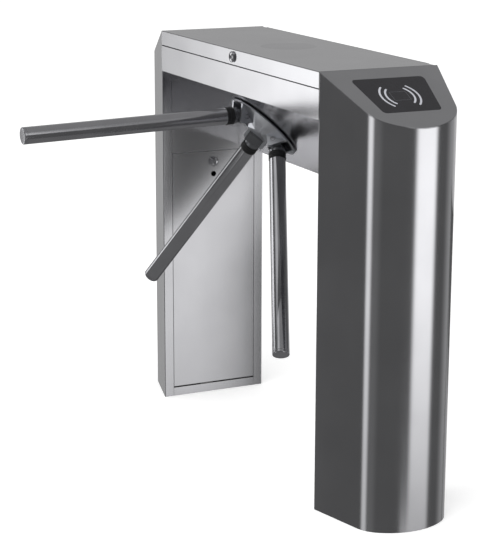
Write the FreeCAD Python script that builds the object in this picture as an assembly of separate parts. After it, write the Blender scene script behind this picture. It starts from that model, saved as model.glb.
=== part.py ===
"""Waist-high tripod turnstile with drop arms.

X runs along the bridge, from the far leg to the near leg. -Y is the arm side, where people pass.
+Z is up. The origin is on the floor, in the middle of the four floor anchors. Sizes are millimetres.
"""
import FreeCAD
import Part
import math
import os

# Cabinet
WIDTH = 280.0  # across the legs and the bridge
HEIGHT = 956.0  # floor to lid
BRIDGE_LENGTH = 860.0  # between the legs
BRIDGE_HEIGHT = 292.0  # lid top to flat underside
FRONT_HEIGHT = 100.0  # lid top to the upper edge of the sloping face
FACE_ANGLE = 45.0  # slope of the face that carries the rotor
SHEET = 1.5  # stainless sheet
SEAM = 0.4  # gap between covers that meet
SHADOW_GAP = 2.5  # open joint under the lid's lip
BEND_R = 2.5  # outside radius of the legs' folded edges

# Legs
LEG_DEPTH = 199.0  # passage side to nose
LEG_TAPER = 14.1  # degrees that each side turns in
NOSE_R = 137.0
CORNER_R = 72.0
CAP_ANGLE = 25.64  # fall of the slanted cap, in degrees
CAP_T = 2.0
RETURN_W = 25.0  # folded strip each side of the door
FRAME_T = 3.0
FRAME_LIP = 10.0  # how far the frame reaches behind the door's edge
FRAME_FLANGE = 30.0
FRAME_INSET = 14.0
FRAME_DROP = 26.0  # lid top to the frame's upper edge
BASE_T = 6.0
KICK_HEIGHT = 22.0
FIT_GAP = 0.2  # plates inside the curved skin
WIRE_HOLE_R = 30.0  # for the wiring between leg and bridge
WIRE_HOLE_Y = 60.0
WIRE_HOLE_DROP = 166.0  # lid top to the hole

# Floor fixing
ANCHOR_X = 530.0
ANCHOR_Y = 85.0
ANCHOR_R = 7.0
FLOOR_CABLE_X = 500.0
FLOOR_CABLE_R = 25.0

# Doors
DOOR_DROP = 21.0  # bridge underside to the door's upper edge
DOOR_GAP = 1.2
HEM_R = 3.0  # rolled hem at the door's foot
ROD_R = 1.5
ROD_END = 6.0  # rod beyond each end of the hem
PAN_DEPTH = 30.0
PAN_INSET = 16.0
PAN_T = 1.2
DOOR_LOCK_DROP = 27.0
VENT_DROP = 59.0
VENT_R = 7.0

# Key locks
LOCK_FLANGE_R = 12.5
LOCK_FLANGE_T = 3.5
LOCK_BODY_R = 9.4
LOCK_CORE_R = 6.0
LOCK_TAB_LENGTH = 26.0
LOCK_TAB_W = 10.0
LOCK_TAB_T = 2.5
KEYWAY = (1.4, 6.0, 1.6)  # width, height, depth
LOCK_CORE_PROUD = 0.8
LOCK_ROOM = 1.0  # from what the tab passes to the end of the lock's body
STRIKE_REACH = 16.0
STRIKE_GAP = 0.5

# Reader windows on the slanted caps, in plan
WINDOW_START = 34.0  # from the leg's passage side
WINDOW_LENGTH = 112.0
WINDOW_TOP_W = 172.0
WINDOW_FOOT_W = 133.0
WINDOW_R = 9.0
WINDOW_T = 3.0
WINDOW_GAP = 0.3
MODULE_LENGTH = 80.0
MODULE_W = 96.0
MODULE_T = 22.0

# Lid
LIP = 35.0
LID_RETURN = 12.0  # ledge behind the lip
LID_DISC_R = 62.0
LID_DISC_RIM = 6.0
LID_DISC_T = 2.0
LID_LOCK_DROP = 17.5
LID_NOTCH = 13.0  # half width of the notch that the lock passes
BARREL_R = 4.0
HINGE_PIN_R = 1.75
HINGE_LENGTH = 800.0
KNUCKLES = 9
KNUCKLE_GAP = 0.3
LEAF_W = 34.0

# Rotor, placed on the sloping face
HUB_DOWN = 113.0  # from the face's upper edge to the axis
HUB_R = 95.0
HUB_STANDOFF = 3.0
HUB_RIM = 3.0
HUB_NOSE = 26.0
HUB_NOSE_R = 30.0
BOSS_R = 30.0
BOSS_DEPTH = 6.0
SHAFT_HOLE_R = 34.0
FIRST_ARM = 89.0  # azimuth of arm 1 as the rotor rests
ARM_CONE = 43.6  # between the axis and each arm
APEX_BACK = 43.8  # where the arms' lines meet, behind the face
PIVOT_R = 60.0
PIVOT_OUT = 20.0
POCKET_HALF = 20.5
POCKET_FLOOR = 7.5
POCKET_BEND_R = 40.0
CHEEK_T = 6.5
CHEEK_RIM = 90.5
CHEEK_NOSE = (62.0, 42.0)
CHEEK_FOOT = (36.0, 18.0)
CHEEK_ROUND = 7.0
ARM_PIN_R = 6.0
RUN_FIT = 0.05  # radial clearance of turning pieces
SEAT_FIT = 0.03  # radial clearance of seated pieces

# Arms, measured from the apex along each arm
TUBE_R = 19.0
TUBE_WALL = 1.5
LUG_R = 12.0
LUG_SIDE_GAP = 0.3
LUG_END_HALF = 17.0
SHOULDER_R = 18.5  # turned end of the lug, against the collar
SHOULDER_LENGTH = 9.0
COLLAR_START = 113.0
COLLAR_R = 20.0
COLLAR_LENGTH = 18.0
ARM_END = 615.0
END_CAP_LENGTH = 8.0
SPIGOT_LENGTH = 42.0  # inside the tube
COLLAR_ROUND = 3.0
CAP_ROUND = 3.0
CAP_PLUG = 18.0
CAP_GROOVE = 0.6

# Mechanism, in from the sloping face
PLATE_T = 6.0
PLATE_HALF = 115.0
PLATE_TOP = 96.0
PLATE_FOOT = 95.0
REAR_PLATE_IN = 112.0
SPACER_R = 7.0
SPACER_U = 104.0
SPACER_EDGE = 14.0
SHAFT_R = 12.5
SHAFT_END = 152.0
SHAFT_SHOULDER_R = 16.0
BEARING_R = 26.0
BEARING_T = 15.0
HOUSING_R = 38.0
HOUSING_FLANGE_R = 50.0
HOUSING_FLANGE_T = 6.0
HOUSING_DEPTH = 24.0
HOUSING_LIP = 2.5
HOUSING_LIP_R = 20.0
NUT_FLATS = 30.0
NUT_T = 8.0

# Gears
MODULE = 2.5
PRESSURE_ANGLE = 25.0
GEAR_TEETH = 48
PINION_TEETH = 16
BACKLASH = 0.35
GEAR_IN = 48.0  # from the face to the gears' front
GEAR_T = 10.0
PINION_AZIMUTH = 60.0  # of the crank, and mirrored for the damper
STUD_R = 4.0
CRANK_DISC_R = 18.0
CRANK_DISC_T = 4.0
CRANK_R = 13.0
CRANK_PIN_R = 2.5
CRANK_PIN_LENGTH = 12.0
SPRING_SPAN = 31.0
SPRING_R = 5.0
SPRING_WIRE_R = 0.9
SPRING_EYE_GAP = 0.5
DAMPER_R = 24.0
DAMPER_LENGTH = 46.0

# Locking
WHEEL_IN = 76.0
WHEEL_T = 8.0
WHEEL_R = 48.0
NOTCHES = 12
NOTCH_W = 9.0
NOTCH_DEPTH = 7.0
PAWL_PIVOT = (45.0, -42.0)
PAWL_SWING = 9.5
PAWL_EYE_R = 9.0
PAWL_TAIL = 38.0
PAWL_TAIL_HALF = 4.5
TOOTH_HALF = 2.8
TOOTH_TIP_GAP = 1.5
TOOTH_BACK = 52.0
PAWL_ARM_W = 14.0
PAWL_HEAD_W = 6.0
FORK_PIN_R = 2.0
FORK_GAP = 0.8
FORK_CHEEK = 3.5
PLUNGER_R = 5.0
SOLENOID_HALF = 13.0
SOLENOID_FOOT = -30.0
SOLENOID_HEAD = 18.0

# Electrics on the bridge's floor
BOARD = (160.0, 66.0, 1.6)
BOARD_X = 260.0
BOARD_Y = 96.0
BOARD_STANDOFF = 8.0
BOARD_FOOT_R = 3.0
BOARD_FOOT_IN = 6.0
RELAYS = 4
RELAY = (18.0, 16.0, 15.0)
RELAY_IN = (18.0, 8.0)
RELAY_GAP = 6.0
TERMINALS_IN = 16.0  # from the board's ends
TERMINALS_BACK = 4.0  # from its long edge
TERMINALS_W = 10.0
TERMINALS_HIGH = 12.0
SUPPLY = (150.0, 64.0, 38.0)
SUPPLY_X = -260.0
SUPPLY_SLOTS = 10
SUPPLY_SLOT_W = 5.0
SUPPLY_SLOT_GAP = 7.0
SUPPLY_SLOT_IN = (15.0, 8.0)
SUPPLY_WALL = 2.0

FACE_SCREW_X = 345.0
FACE_SCREW_DOWN = 18.0
FACE_SCREW_R = 3.5
FACE_SCREW_PROUD = 1.2
FACE_SCREW_SHANK_R = 2.0
FACE_SCREW_LENGTH = 8.0

HALF_W = WIDTH / 2
HALF_L = BRIDGE_LENGTH / 2
FACE_TOP_Z = HEIGHT - FRONT_HEIGHT
UNDERSIDE_Z = HEIGHT - BRIDGE_HEIGHT
DOOR_TOP = UNDERSIDE_Z - DOOR_DROP
FRAME_TOP = HEIGHT - FRAME_DROP
WIRE_HOLE_Z = HEIGHT - WIRE_HOLE_DROP
CAP_SLOPE = math.tan(math.radians(CAP_ANGLE))
FACE_RUN = (FACE_TOP_Z - UNDERSIDE_Z) / math.tan(math.radians(FACE_ANGLE))
FACE_COS = math.cos(math.radians(FACE_ANGLE))
FACE_SIN = math.sin(math.radians(FACE_ANGLE))
CONE_SIN = math.sin(math.radians(ARM_CONE))
CONE_COS = math.cos(math.radians(ARM_CONE))
DOOR_HALF = HALF_W - RETURN_W - DOOR_GAP
ROD_X = HALF_L + HEM_R
ROD_Z = KICK_HEIGHT + DOOR_GAP + HEM_R
DOOR_LOCK_Z = DOOR_TOP - DOOR_LOCK_DROP
TUBE_START = COLLAR_START + COLLAR_LENGTH
TUBE_END = ARM_END - END_CAP_LENGTH
SPIGOT_END = TUBE_START + SPIGOT_LENGTH
HINGE_Y = HALF_W - BARREL_R
HINGE_Z = HEIGHT - BARREL_R
LEDGE_Z = HEIGHT - LIP - SHADOW_GAP
CENTRE_DISTANCE = MODULE * (GEAR_TEETH + PINION_TEETH) / 2
ARM_AZIMUTHS = (FIRST_ARM, FIRST_ARM + 120, FIRST_ARM + 240)

V = FreeCAD.Vector
ORIGIN = V(0, 0, 0)
ALONG_X = V(1, 0, 0)
ALONG_Y = V(0, 1, 0)
ALONG_Z = V(0, 0, 1)

# The face frame: u along X, v up the slope, n out of the face, from the rotor's axis.
FACE_FRAME = FreeCAD.Placement(FreeCAD.Matrix(
    1, 0, 0, 0,
    0, -FACE_COS, -FACE_SIN, -HALF_W + HUB_DOWN * FACE_COS,
    0, FACE_SIN, -FACE_COS, FACE_TOP_Z - HUB_DOWN * FACE_SIN,
    0, 0, 0, 1))


def on_face(shape):
    """Moves a shape from the face frame to the object's frame."""
    moved = shape.copy()
    moved.Placement = FACE_FRAME.multiply(moved.Placement)
    return moved


def at_azimuth(shape, degrees):
    """Turns a shape about the rotor's axis, in the face frame."""
    turned = shape.copy()
    turned.rotate(ORIGIN, ALONG_Z, degrees)
    return turned


def mirrored(shape):
    """The same shape on the other side, across X."""
    return shape.mirror(ORIGIN, ALONG_X)


def box(x0, x1, y0, y1, z0, z1):
    return Part.makeBox(x1 - x0, y1 - y0, z1 - z0, V(x0, y0, z0))


def rod(radius, start, direction, length):
    return Part.makeCylinder(radius, length, start, direction)


def tube(outer, inner, start, direction, length):
    return rod(outer, start, direction, length).cut(rod(inner, start, direction, length))


def slab(points, direction):
    """A flat outline, pushed along direction."""
    return Part.Face(Part.makePolygon(points + points[:1])).extrude(direction)


def across(points, x0, x1):
    """An outline in (y, z), from x0 to x1."""
    return slab([V(x0, y, z) for y, z in points], V(x1 - x0, 0, 0))


def along(points, y0, y1):
    """An outline in (x, z), from y0 to y1."""
    return slab([V(x, y0, z) for x, z in points], V(0, y1 - y0, 0))


def turned_profile(points):
    """A solid of revolution about Z, from points (r, z)."""
    outline = [V(r, 0, z) for r, z in points]
    return Part.Face(Part.makePolygon(outline + outline[:1])).revolve(ORIGIN, ALONG_Z, 360)


def rounded(shape, radius, wanted):
    """Fillets the edges that wanted(edge) picks."""
    return shape.makeFillet(radius, [edge for edge in shape.Edges if wanted(edge)])


def is_straight_along(edge, axis):
    """True for a straight edge that runs along axis."""
    if not isinstance(edge.Curve, Part.Line):
        return False
    return abs(abs(edge.Curve.Direction.dot(axis)) - 1) < 1e-6


def leg_outline(inset=0.0):
    """The near leg in plan: tapered sides, two corner arcs and the nose, moved in by inset."""
    taper = math.radians(LEG_TAPER)
    outward = V(math.sin(taper), -math.cos(taper), 0)
    forward = V(math.cos(taper), math.sin(taper), 0)
    nose_centre = V(HALF_L + LEG_DEPTH - NOSE_R, 0, 0)
    start = V(HALF_L, -HALF_W, 0) - outward * CORNER_R - nose_centre
    half = start.dot(forward)
    reach = -half + math.sqrt(half ** 2 - start.dot(start) + (NOSE_R - CORNER_R) ** 2)
    corner_centre = nose_centre + start + forward * reach
    to_nose = (corner_centre - nose_centre).normalize()
    between = (outward + to_nose).normalize()
    radius = CORNER_R - inset
    foot = V(HALF_L, -HALF_W + inset / math.cos(taper), 0)
    first = corner_centre + outward * radius
    middle = corner_centre + between * radius
    last = corner_centre + to_nose * radius
    tip = V(HALF_L + LEG_DEPTH - inset, 0, 0)

    def other(point):
        return V(point.x, -point.y, point.z)

    edges = [
        Part.makeLine(foot, first),
        Part.Arc(first, middle, last).toShape(),
        Part.Arc(last, tip, other(last)).toShape(),
        Part.Arc(other(last), other(middle), other(first)).toShape(),
        Part.makeLine(other(first), other(foot)),
        Part.makeLine(other(foot), foot),
    ]
    return Part.Face(Part.Wire(edges))


def leg_block(inset, z0, z1):
    """The leg's plan, raised from z0 to z1."""
    block = leg_outline(inset).extrude(V(0, 0, z1 - z0))
    block.translate(V(0, 0, z0))
    return block


def under_cap(drop, bottom=0.0):
    """Everything over the near leg's plan that lies at least drop under the cap's top."""
    end = HALF_L + LEG_DEPTH + 1
    fall = CAP_SLOPE * (end - HALF_L)
    top = HEIGHT - drop
    points = [(HALF_L, bottom), (end, bottom), (end, top - fall), (HALF_L, top)]
    return along(points, -HALF_W, HALF_W)


def cap_layer(face, top_drop, bottom_drop):
    """A face in plan, cut to the layer between two drops under the cap's top."""
    block = face.extrude(V(0, 0, HEIGHT))
    return block.common(under_cap(top_drop)).cut(under_cap(bottom_drop, -1))


def window_outline(grow=0.0):
    """The reader window in plan, with rounded corners, moved out by grow."""
    x0 = HALF_L + WINDOW_START - grow
    x1 = x0 + WINDOW_LENGTH + 2 * grow
    top = WINDOW_TOP_W / 2 + grow
    foot = WINDOW_FOOT_W / 2 + grow
    points = [V(x0, -top, 0), V(x1, -foot, 0), V(x1, foot, 0), V(x0, top, 0)]
    block = slab(points, V(0, 0, 1))
    block = rounded(block, WINDOW_R + grow, lambda edge: is_straight_along(edge, ALONG_Z))
    return min(block.Faces, key=lambda face: face.CenterOfMass.z)


def leg_skin():
    """One bent sheet: both sides, the nose, and a folded strip each side of the door."""
    shell = leg_block(0, 0, HEIGHT).cut(leg_block(SHEET, 0, HEIGHT))
    strips = box(HALF_L, HALF_L + SHEET, -HALF_W, HALF_W, 0, HEIGHT)
    strips = strips.cut(box(HALF_L, HALF_L + SHEET, RETURN_W - HALF_W, HALF_W - RETURN_W, 0, HEIGHT))
    skin = shell.fuse(strips.common(leg_block(0, 0, HEIGHT))).removeSplitter()
    skin = rounded(skin, BEND_R, lambda edge: is_straight_along(edge, ALONG_Z)
                   and abs(edge.CenterOfMass.x - HALF_L) < 0.01
                   and abs(abs(edge.CenterOfMass.y) - HALF_W) < 0.01)
    return skin.common(under_cap(CAP_T))


def leg_frame():
    """The plate behind the strips, with the door opening and two stiffening flanges."""
    side = HALF_W - SHEET / math.cos(math.radians(LEG_TAPER)) - 2 * FIT_GAP - FRAME_T
    x0 = HALF_L + SHEET
    plate = box(x0, x0 + FRAME_T, -side, side, BASE_T, FRAME_TOP)
    opening = DOOR_HALF - FRAME_LIP
    plate = plate.cut(box(x0, x0 + FRAME_T, -opening, opening,
                          KICK_HEIGHT + FRAME_LIP, DOOR_TOP - FRAME_LIP))
    plate = plate.cut(rod(WIRE_HOLE_R, V(x0, WIRE_HOLE_Y, WIRE_HOLE_Z), ALONG_X, FRAME_T))
    for y in (-HALF_W + FRAME_INSET, HALF_W - FRAME_INSET - FRAME_T):
        flange = box(x0, x0 + FRAME_FLANGE, y, y + FRAME_T, BASE_T, UNDERSIDE_Z)
        plate = plate.fuse(flange)
    hem = box(HALF_L, HALF_L + 2 * HEM_R + DOOR_GAP, -DOOR_HALF - DOOR_GAP, DOOR_HALF + DOOR_GAP,
              KICK_HEIGHT, ROD_Z + HEM_R + DOOR_GAP)
    plate = plate.cut(hem)
    for sign in (-1, 1):
        start = sign * (DOOR_HALF + DOOR_GAP)
        lug = box(x0, ROD_X + 2 * HEM_R, min(start, start + sign * ROD_END),
                  max(start, start + sign * ROD_END), KICK_HEIGHT, ROD_Z + 2 * HEM_R)
        plate = plate.fuse(lug)
    reach = DOOR_HALF + DOOR_GAP + ROD_END
    plate = plate.cut(rod(ROD_R + RUN_FIT, V(ROD_X, -reach, ROD_Z), ALONG_Y, 2 * reach))
    return plate.removeSplitter()


def upper_panel():
    """The fixed panel over the door."""
    half = HALF_W - RETURN_W - SEAM
    panel = box(HALF_L, HALF_L + SHEET, -half, half, DOOR_TOP + DOOR_GAP + SEAM, FRAME_TOP)
    return panel.cut(rod(WIRE_HOLE_R, V(HALF_L, WIRE_HOLE_Y, WIRE_HOLE_Z), ALONG_X, SHEET))


def kick_strip():
    """The strip under the door."""
    half = HALF_W - RETURN_W - SEAM
    return box(HALF_L, HALF_L + SHEET, -half, half, 0, KICK_HEIGHT)


def leg_cap():
    """The slanted top plate, with the opening for the reader window."""
    return cap_layer(leg_outline(), 0, CAP_T).cut(cap_layer(window_outline(WINDOW_GAP), -1, CAP_T + 1))


def base_plate():
    """The plate on the floor, with two anchor holes and the cable entry."""
    plate = leg_block(SHEET + FIT_GAP, 0, BASE_T)
    plate = plate.cut(box(HALF_L, HALF_L + SHEET, -HALF_W, HALF_W, 0, BASE_T))
    for y in (-ANCHOR_Y, ANCHOR_Y):
        plate = plate.cut(rod(ANCHOR_R, V(ANCHOR_X, y, 0), ALONG_Z, BASE_T))
    return plate.cut(rod(FLOOR_CABLE_R, V(FLOOR_CABLE_X, 0, 0), ALONG_Z, BASE_T))


def reader_window():
    """The dark flush window."""
    return cap_layer(window_outline(), 0, WINDOW_T)


def reader_module():
    """The card reader's box, against the back of the window."""
    x0 = HALF_L + WINDOW_START + (WINDOW_LENGTH - MODULE_LENGTH) / 2
    points = [V(x0, -MODULE_W / 2, 0), V(x0 + MODULE_LENGTH, -MODULE_W / 2, 0),
              V(x0 + MODULE_LENGTH, MODULE_W / 2, 0), V(x0, MODULE_W / 2, 0)]
    face = Part.Face(Part.makePolygon(points + points[:1]))
    return cap_layer(face, WINDOW_T, WINDOW_T + MODULE_T)


def door():
    """The door: sheet, rolled hem at the foot, stiffening pan, lock and vent holes."""
    sheet = box(HALF_L, HALF_L + SHEET, -DOOR_HALF, DOOR_HALF, ROD_Z, DOOR_TOP)
    hem = rod(HEM_R, V(ROD_X, -DOOR_HALF, ROD_Z), ALONG_Y, 2 * DOOR_HALF)
    half = DOOR_HALF - PAN_INSET
    pan_top = DOOR_LOCK_Z - 1.5 * LOCK_FLANGE_R
    pan_foot = KICK_HEIGHT + FRAME_LIP + PAN_INSET
    pan = box(HALF_L + SHEET, HALF_L + PAN_DEPTH, -half, half, pan_foot, pan_top)
    pan = pan.cut(box(HALF_L + SHEET, HALF_L + PAN_DEPTH, PAN_T - half, half - PAN_T,
                      pan_foot + PAN_T, pan_top - PAN_T))
    shape = sheet.fuse([hem, pan])
    shape = shape.cut(rod(ROD_R + RUN_FIT, V(ROD_X, -DOOR_HALF, ROD_Z), ALONG_Y, 2 * DOOR_HALF))
    shape = shape.cut(rod(LOCK_BODY_R + SEAT_FIT, V(HALF_L, 0, DOOR_LOCK_Z), ALONG_X, SHEET))
    vent_z = DOOR_TOP - VENT_DROP
    return shape.cut(rod(VENT_R, V(HALF_L, 0, vent_z), ALONG_X, SHEET)).removeSplitter()


def door_hinge_rod():
    """The rod through the door's hem and the frame's lugs."""
    reach = DOOR_HALF + DOOR_GAP + ROD_END
    return rod(ROD_R, V(ROD_X, -reach, ROD_Z), ALONG_Y, 2 * reach)


def lock_barrel(depth):
    """A key lock's fixed part. Its face looks along -X at the origin, its body runs to depth."""
    flange = rod(LOCK_FLANGE_R, V(-LOCK_FLANGE_T, 0, 0), ALONG_X, LOCK_FLANGE_T)
    front = [edge for edge in flange.Edges if abs(edge.CenterOfMass.x + LOCK_FLANGE_T) < 0.01]
    flange = flange.makeFillet(1.0, front)
    body = rod(LOCK_BODY_R, ORIGIN, ALONG_X, depth)
    bore = rod(LOCK_CORE_R + RUN_FIT, V(-LOCK_FLANGE_T, 0, 0), ALONG_X, LOCK_FLANGE_T + depth)
    return flange.fuse(body).cut(bore).removeSplitter()


def lock_core(depth):
    """A key lock's turning part, with its keyway and its tab, which points along +Y when open."""
    front = -LOCK_FLANGE_T - LOCK_CORE_PROUD
    core = rod(LOCK_CORE_R, V(front, 0, 0), ALONG_X, depth - front + FIT_GAP + LOCK_TAB_T)
    width, height, deep = KEYWAY
    core = core.cut(box(front, front + deep, -height / 2, height / 2, -width / 2, width / 2))
    tab = box(depth + FIT_GAP, depth + FIT_GAP + LOCK_TAB_T, 0, LOCK_TAB_LENGTH,
              -LOCK_TAB_W / 2, LOCK_TAB_W / 2)
    return core.fuse(tab).removeSplitter()


DOOR_LOCK_DEPTH = SHEET + FRAME_T + LOCK_ROOM
LID_LOCK_DEPTH = LID_RETURN + SHEET + LOCK_ROOM


def at_door_lock(shape):
    """Moves a lock to the near door."""
    moved = shape.copy()
    moved.translate(V(HALF_L, 0, DOOR_LOCK_Z))
    return moved


def at_lid_lock(shape):
    """Turns a lock to look along -Y with its tab down, and moves it to the lid's lip."""
    moved = shape.copy()
    moved.rotate(ORIGIN, ALONG_Z, 90)
    moved.rotate(ORIGIN, ALONG_Y, -90)
    moved.translate(V(0, -HALF_W, HEIGHT - LID_LOCK_DROP))
    return moved


def bridge_section(inset=0.0):
    """The bridge's outline in (y, z), moved in by inset and left open towards the top."""
    corner = inset * math.tan(math.radians(FACE_ANGLE) / 2)
    side = HALF_W - inset
    bottom = UNDERSIDE_Z + inset
    face_foot = -HALF_W + FACE_RUN + corner
    return [(-side, FACE_TOP_Z + inset * math.tan(math.radians(90 - FACE_ANGLE) / 2)),
            (face_foot, bottom), (side, bottom)]


def bridge_chassis():
    """The folded trough: front, sloping face, floor, back, ends, and the ledge under the lid."""
    back_top = HINGE_Z - BARREL_R - KNUCKLE_GAP
    outer = across(bridge_section() + [(HALF_W, back_top), (-HALF_W, back_top)], -HALF_L, HALF_L)
    inner = across(bridge_section(SHEET) + [(HALF_W - SHEET, HEIGHT), (SHEET - HALF_W, HEIGHT)],
                   SHEET - HALF_L, HALF_L - SHEET)
    trough = outer.cut(inner)
    trough = trough.cut(box(-HALF_L, HALF_L, -HALF_W, HALF_W - SHEET, LEDGE_Z, HEIGHT))
    ledge_end = LID_RETURN - HALF_W
    trough = trough.fuse([
        box(-HALF_L, HALF_L, -HALF_W, ledge_end + SHEET, LEDGE_Z - SHEET, LEDGE_Z),
        box(SHEET - HALF_L, HALF_L - SHEET, ledge_end, ledge_end + SHEET, LEDGE_Z,
            HEIGHT - SHEET - SEAM),
    ])
    lock_z = HEIGHT - LID_LOCK_DROP
    trough = trough.cut(box(-LID_NOTCH, LID_NOTCH, ledge_end, ledge_end + SHEET, lock_z - LID_NOTCH, HEIGHT))
    strike_z = lock_z + LOCK_TAB_W / 2 + STRIKE_GAP
    strike_depth = SHEET + LOCK_ROOM + FIT_GAP + 2 * LOCK_TAB_T
    trough = trough.fuse(box(-LID_NOTCH - STRIKE_REACH, -LID_NOTCH, ledge_end, ledge_end + strike_depth,
                             strike_z, strike_z + SHEET))
    for x in (-HALF_L, HALF_L - SHEET):
        trough = trough.cut(rod(WIRE_HOLE_R, V(x, WIRE_HOLE_Y, WIRE_HOLE_Z), ALONG_X, SHEET))
    trough = trough.cut(on_face(rod(SHAFT_HOLE_R, V(0, 0, -SHEET), ALONG_Z, SHEET)))
    for x in (-FACE_SCREW_X, FACE_SCREW_X):
        at = V(x, HUB_DOWN - FACE_SCREW_DOWN, -SHEET)
        trough = trough.cut(on_face(rod(FACE_SCREW_SHANK_R + FIT_GAP, at, ALONG_Z, SHEET)))
    return trough.removeSplitter()


def face_screw(x):
    """A low-head screw on the sloping face."""
    at = V(x, HUB_DOWN - FACE_SCREW_DOWN, 0)
    head = rod(FACE_SCREW_R, at, ALONG_Z, FACE_SCREW_PROUD)
    slot = box(x - 2.5, x + 2.5, at.y - 0.5, at.y + 0.5, FACE_SCREW_PROUD / 2, FACE_SCREW_PROUD)
    shank = rod(FACE_SCREW_SHANK_R, at - V(0, 0, FACE_SCREW_LENGTH), ALONG_Z, FACE_SCREW_LENGTH)
    return on_face(head.cut(slot).fuse(shank))


def lid():
    """The lid: top sheet and front lip, with holes for the round cover and the lock."""
    length = HALF_L - SEAM
    back = HINGE_Y - BARREL_R - KNUCKLE_GAP
    shape = box(-length, length, -HALF_W, back, HEIGHT - LIP, HEIGHT)
    shape = rounded(shape, BEND_R, lambda edge: is_straight_along(edge, ALONG_X)
                    and abs(edge.CenterOfMass.y + HALF_W) < 0.01
                    and abs(edge.CenterOfMass.z - HEIGHT) < 0.01)
    shape = shape.cut(box(-length, length, SHEET - HALF_W, back, HEIGHT - LIP, HEIGHT - SHEET))
    shape = shape.cut(rod(LID_DISC_R + SEAM, V(0, 0, HEIGHT - SHEET), ALONG_Z, SHEET))
    lock_z = HEIGHT - LID_LOCK_DROP
    return shape.cut(rod(LOCK_BODY_R + SEAT_FIT, V(0, -HALF_W, lock_z), ALONG_Y, SHEET))


def lid_disc():
    """The flush round cover, with a rim under the lid."""
    disc = rod(LID_DISC_R, V(0, 0, HEIGHT - SHEET), ALONG_Z, SHEET)
    rim_r = LID_DISC_R + LID_DISC_RIM
    return disc.fuse(rod(rim_r, V(0, 0, HEIGHT - SHEET - LID_DISC_T), ALONG_Z, LID_DISC_T)).removeSplitter()


def knuckle_spans(moving):
    """The (x0, x1) spans of the fixed or the moving knuckles."""
    step = HINGE_LENGTH / KNUCKLES
    first = 1 if moving else 0
    return [(-HINGE_LENGTH / 2 + i * step + KNUCKLE_GAP / 2, -HINGE_LENGTH / 2 + (i + 1) * step - KNUCKLE_GAP / 2)
            for i in range(first, KNUCKLES, 2)]


def hinge_leaf(plate, moving):
    """A plate with its knuckles round the lid's pin."""
    for x0, x1 in knuckle_spans(not moving):
        room = rod(BARREL_R + KNUCKLE_GAP, V(x0 - KNUCKLE_GAP, HINGE_Y, HINGE_Z), ALONG_X,
                   x1 - x0 + 2 * KNUCKLE_GAP)
        plate = plate.cut(room)
    knuckles = [rod(BARREL_R, V(x0, HINGE_Y, HINGE_Z), ALONG_X, x1 - x0)
                for x0, x1 in knuckle_spans(moving)]
    leaf = plate.fuse(knuckles)
    bore = rod(HINGE_PIN_R + RUN_FIT, V(-HINGE_LENGTH / 2, HINGE_Y, HINGE_Z), ALONG_X, HINGE_LENGTH)
    return leaf.cut(bore).removeSplitter()


def lid_hinge_base():
    """The leaf on the inside of the bridge's back."""
    back = HALF_W - SHEET
    plate = box(-HINGE_LENGTH / 2, HINGE_LENGTH / 2, back - SHEET, back, HINGE_Z - LEAF_W, HINGE_Z)
    return hinge_leaf(plate, False)


def lid_hinge_leaf():
    """The leaf under the lid's back edge."""
    top = HEIGHT - SHEET
    plate = box(-HINGE_LENGTH / 2, HINGE_LENGTH / 2, HINGE_Y - LEAF_W, HINGE_Y, top - SHEET, top)
    return hinge_leaf(plate, True)


def lid_hinge_pin():
    return rod(HINGE_PIN_R, V(-HINGE_LENGTH / 2, HINGE_Y, HINGE_Z), ALONG_X, HINGE_LENGTH)


def pocket():
    """The room that an arm at azimuth 0 needs between its cheeks, through its whole fold."""
    steep = CONE_SIN / CONE_COS
    inner_r = POCKET_BEND_R / 2
    rise = (POCKET_BEND_R - inner_r) * steep
    high = HUB_NOSE + ARM_END
    points = [(HUB_R + 10, POCKET_FLOOR), (POCKET_BEND_R, POCKET_FLOOR),
              (inner_r, POCKET_FLOOR + rise), (inner_r, high), (HUB_R + 10, high)]
    return along(points, -POCKET_HALF, POCKET_HALF)


def cheeks():
    """The two ears of the clevis at azimuth 0."""
    floor = HUB_STANDOFF
    points = [(CHEEK_FOOT[0], floor), (CHEEK_RIM, floor), (CHEEK_RIM, floor + HUB_RIM),
              CHEEK_NOSE, CHEEK_FOOT]
    half = POCKET_HALF + CHEEK_T
    block = along(points, -half, half)
    nose_x = CHEEK_NOSE[0]
    return rounded(block, CHEEK_ROUND, lambda edge: is_straight_along(edge, ALONG_Y)
                   and abs(edge.CenterOfMass.x - nose_x) < 0.01)


def hub():
    """The cast hub: rim disc, shallow cone, three clevises, and the boss that takes the shaft."""
    back = HUB_STANDOFF
    profile = [(0, -BOSS_DEPTH), (BOSS_R, -BOSS_DEPTH), (BOSS_R, back), (HUB_R, back),
               (HUB_R, back + HUB_RIM), (HUB_NOSE_R, HUB_NOSE), (0, HUB_NOSE)]
    shape = turned_profile(profile)
    shape = shape.fuse([at_azimuth(cheeks(), azimuth) for azimuth in ARM_AZIMUTHS])
    reach = POCKET_HALF + CHEEK_T
    bore = rod(ARM_PIN_R + SEAT_FIT, V(PIVOT_R, -reach, PIVOT_OUT), ALONG_Y, 2 * reach)
    for azimuth in ARM_AZIMUTHS:
        shape = shape.cut(at_azimuth(pocket(), azimuth))
        shape = shape.cut(at_azimuth(bore, azimuth))
    socket = rod(SHAFT_R + SEAT_FIT, V(0, 0, -BOSS_DEPTH), ALONG_Z, 2 * BOSS_DEPTH + FIT_GAP)
    return on_face(shape.cut(socket).removeSplitter())


def arm_pin(azimuth):
    """The pin through one clevis, a little below the cheeks' faces."""
    reach = POCKET_HALF + CHEEK_T - 0.5
    pin = rod(ARM_PIN_R, V(PIVOT_R, -reach, PIVOT_OUT), ALONG_Y, 2 * reach)
    pin = pin.makeChamfer(0.8, [edge for edge in pin.Edges if isinstance(edge.Curve, Part.Circle)])
    return on_face(at_azimuth(pin, azimuth))


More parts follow.
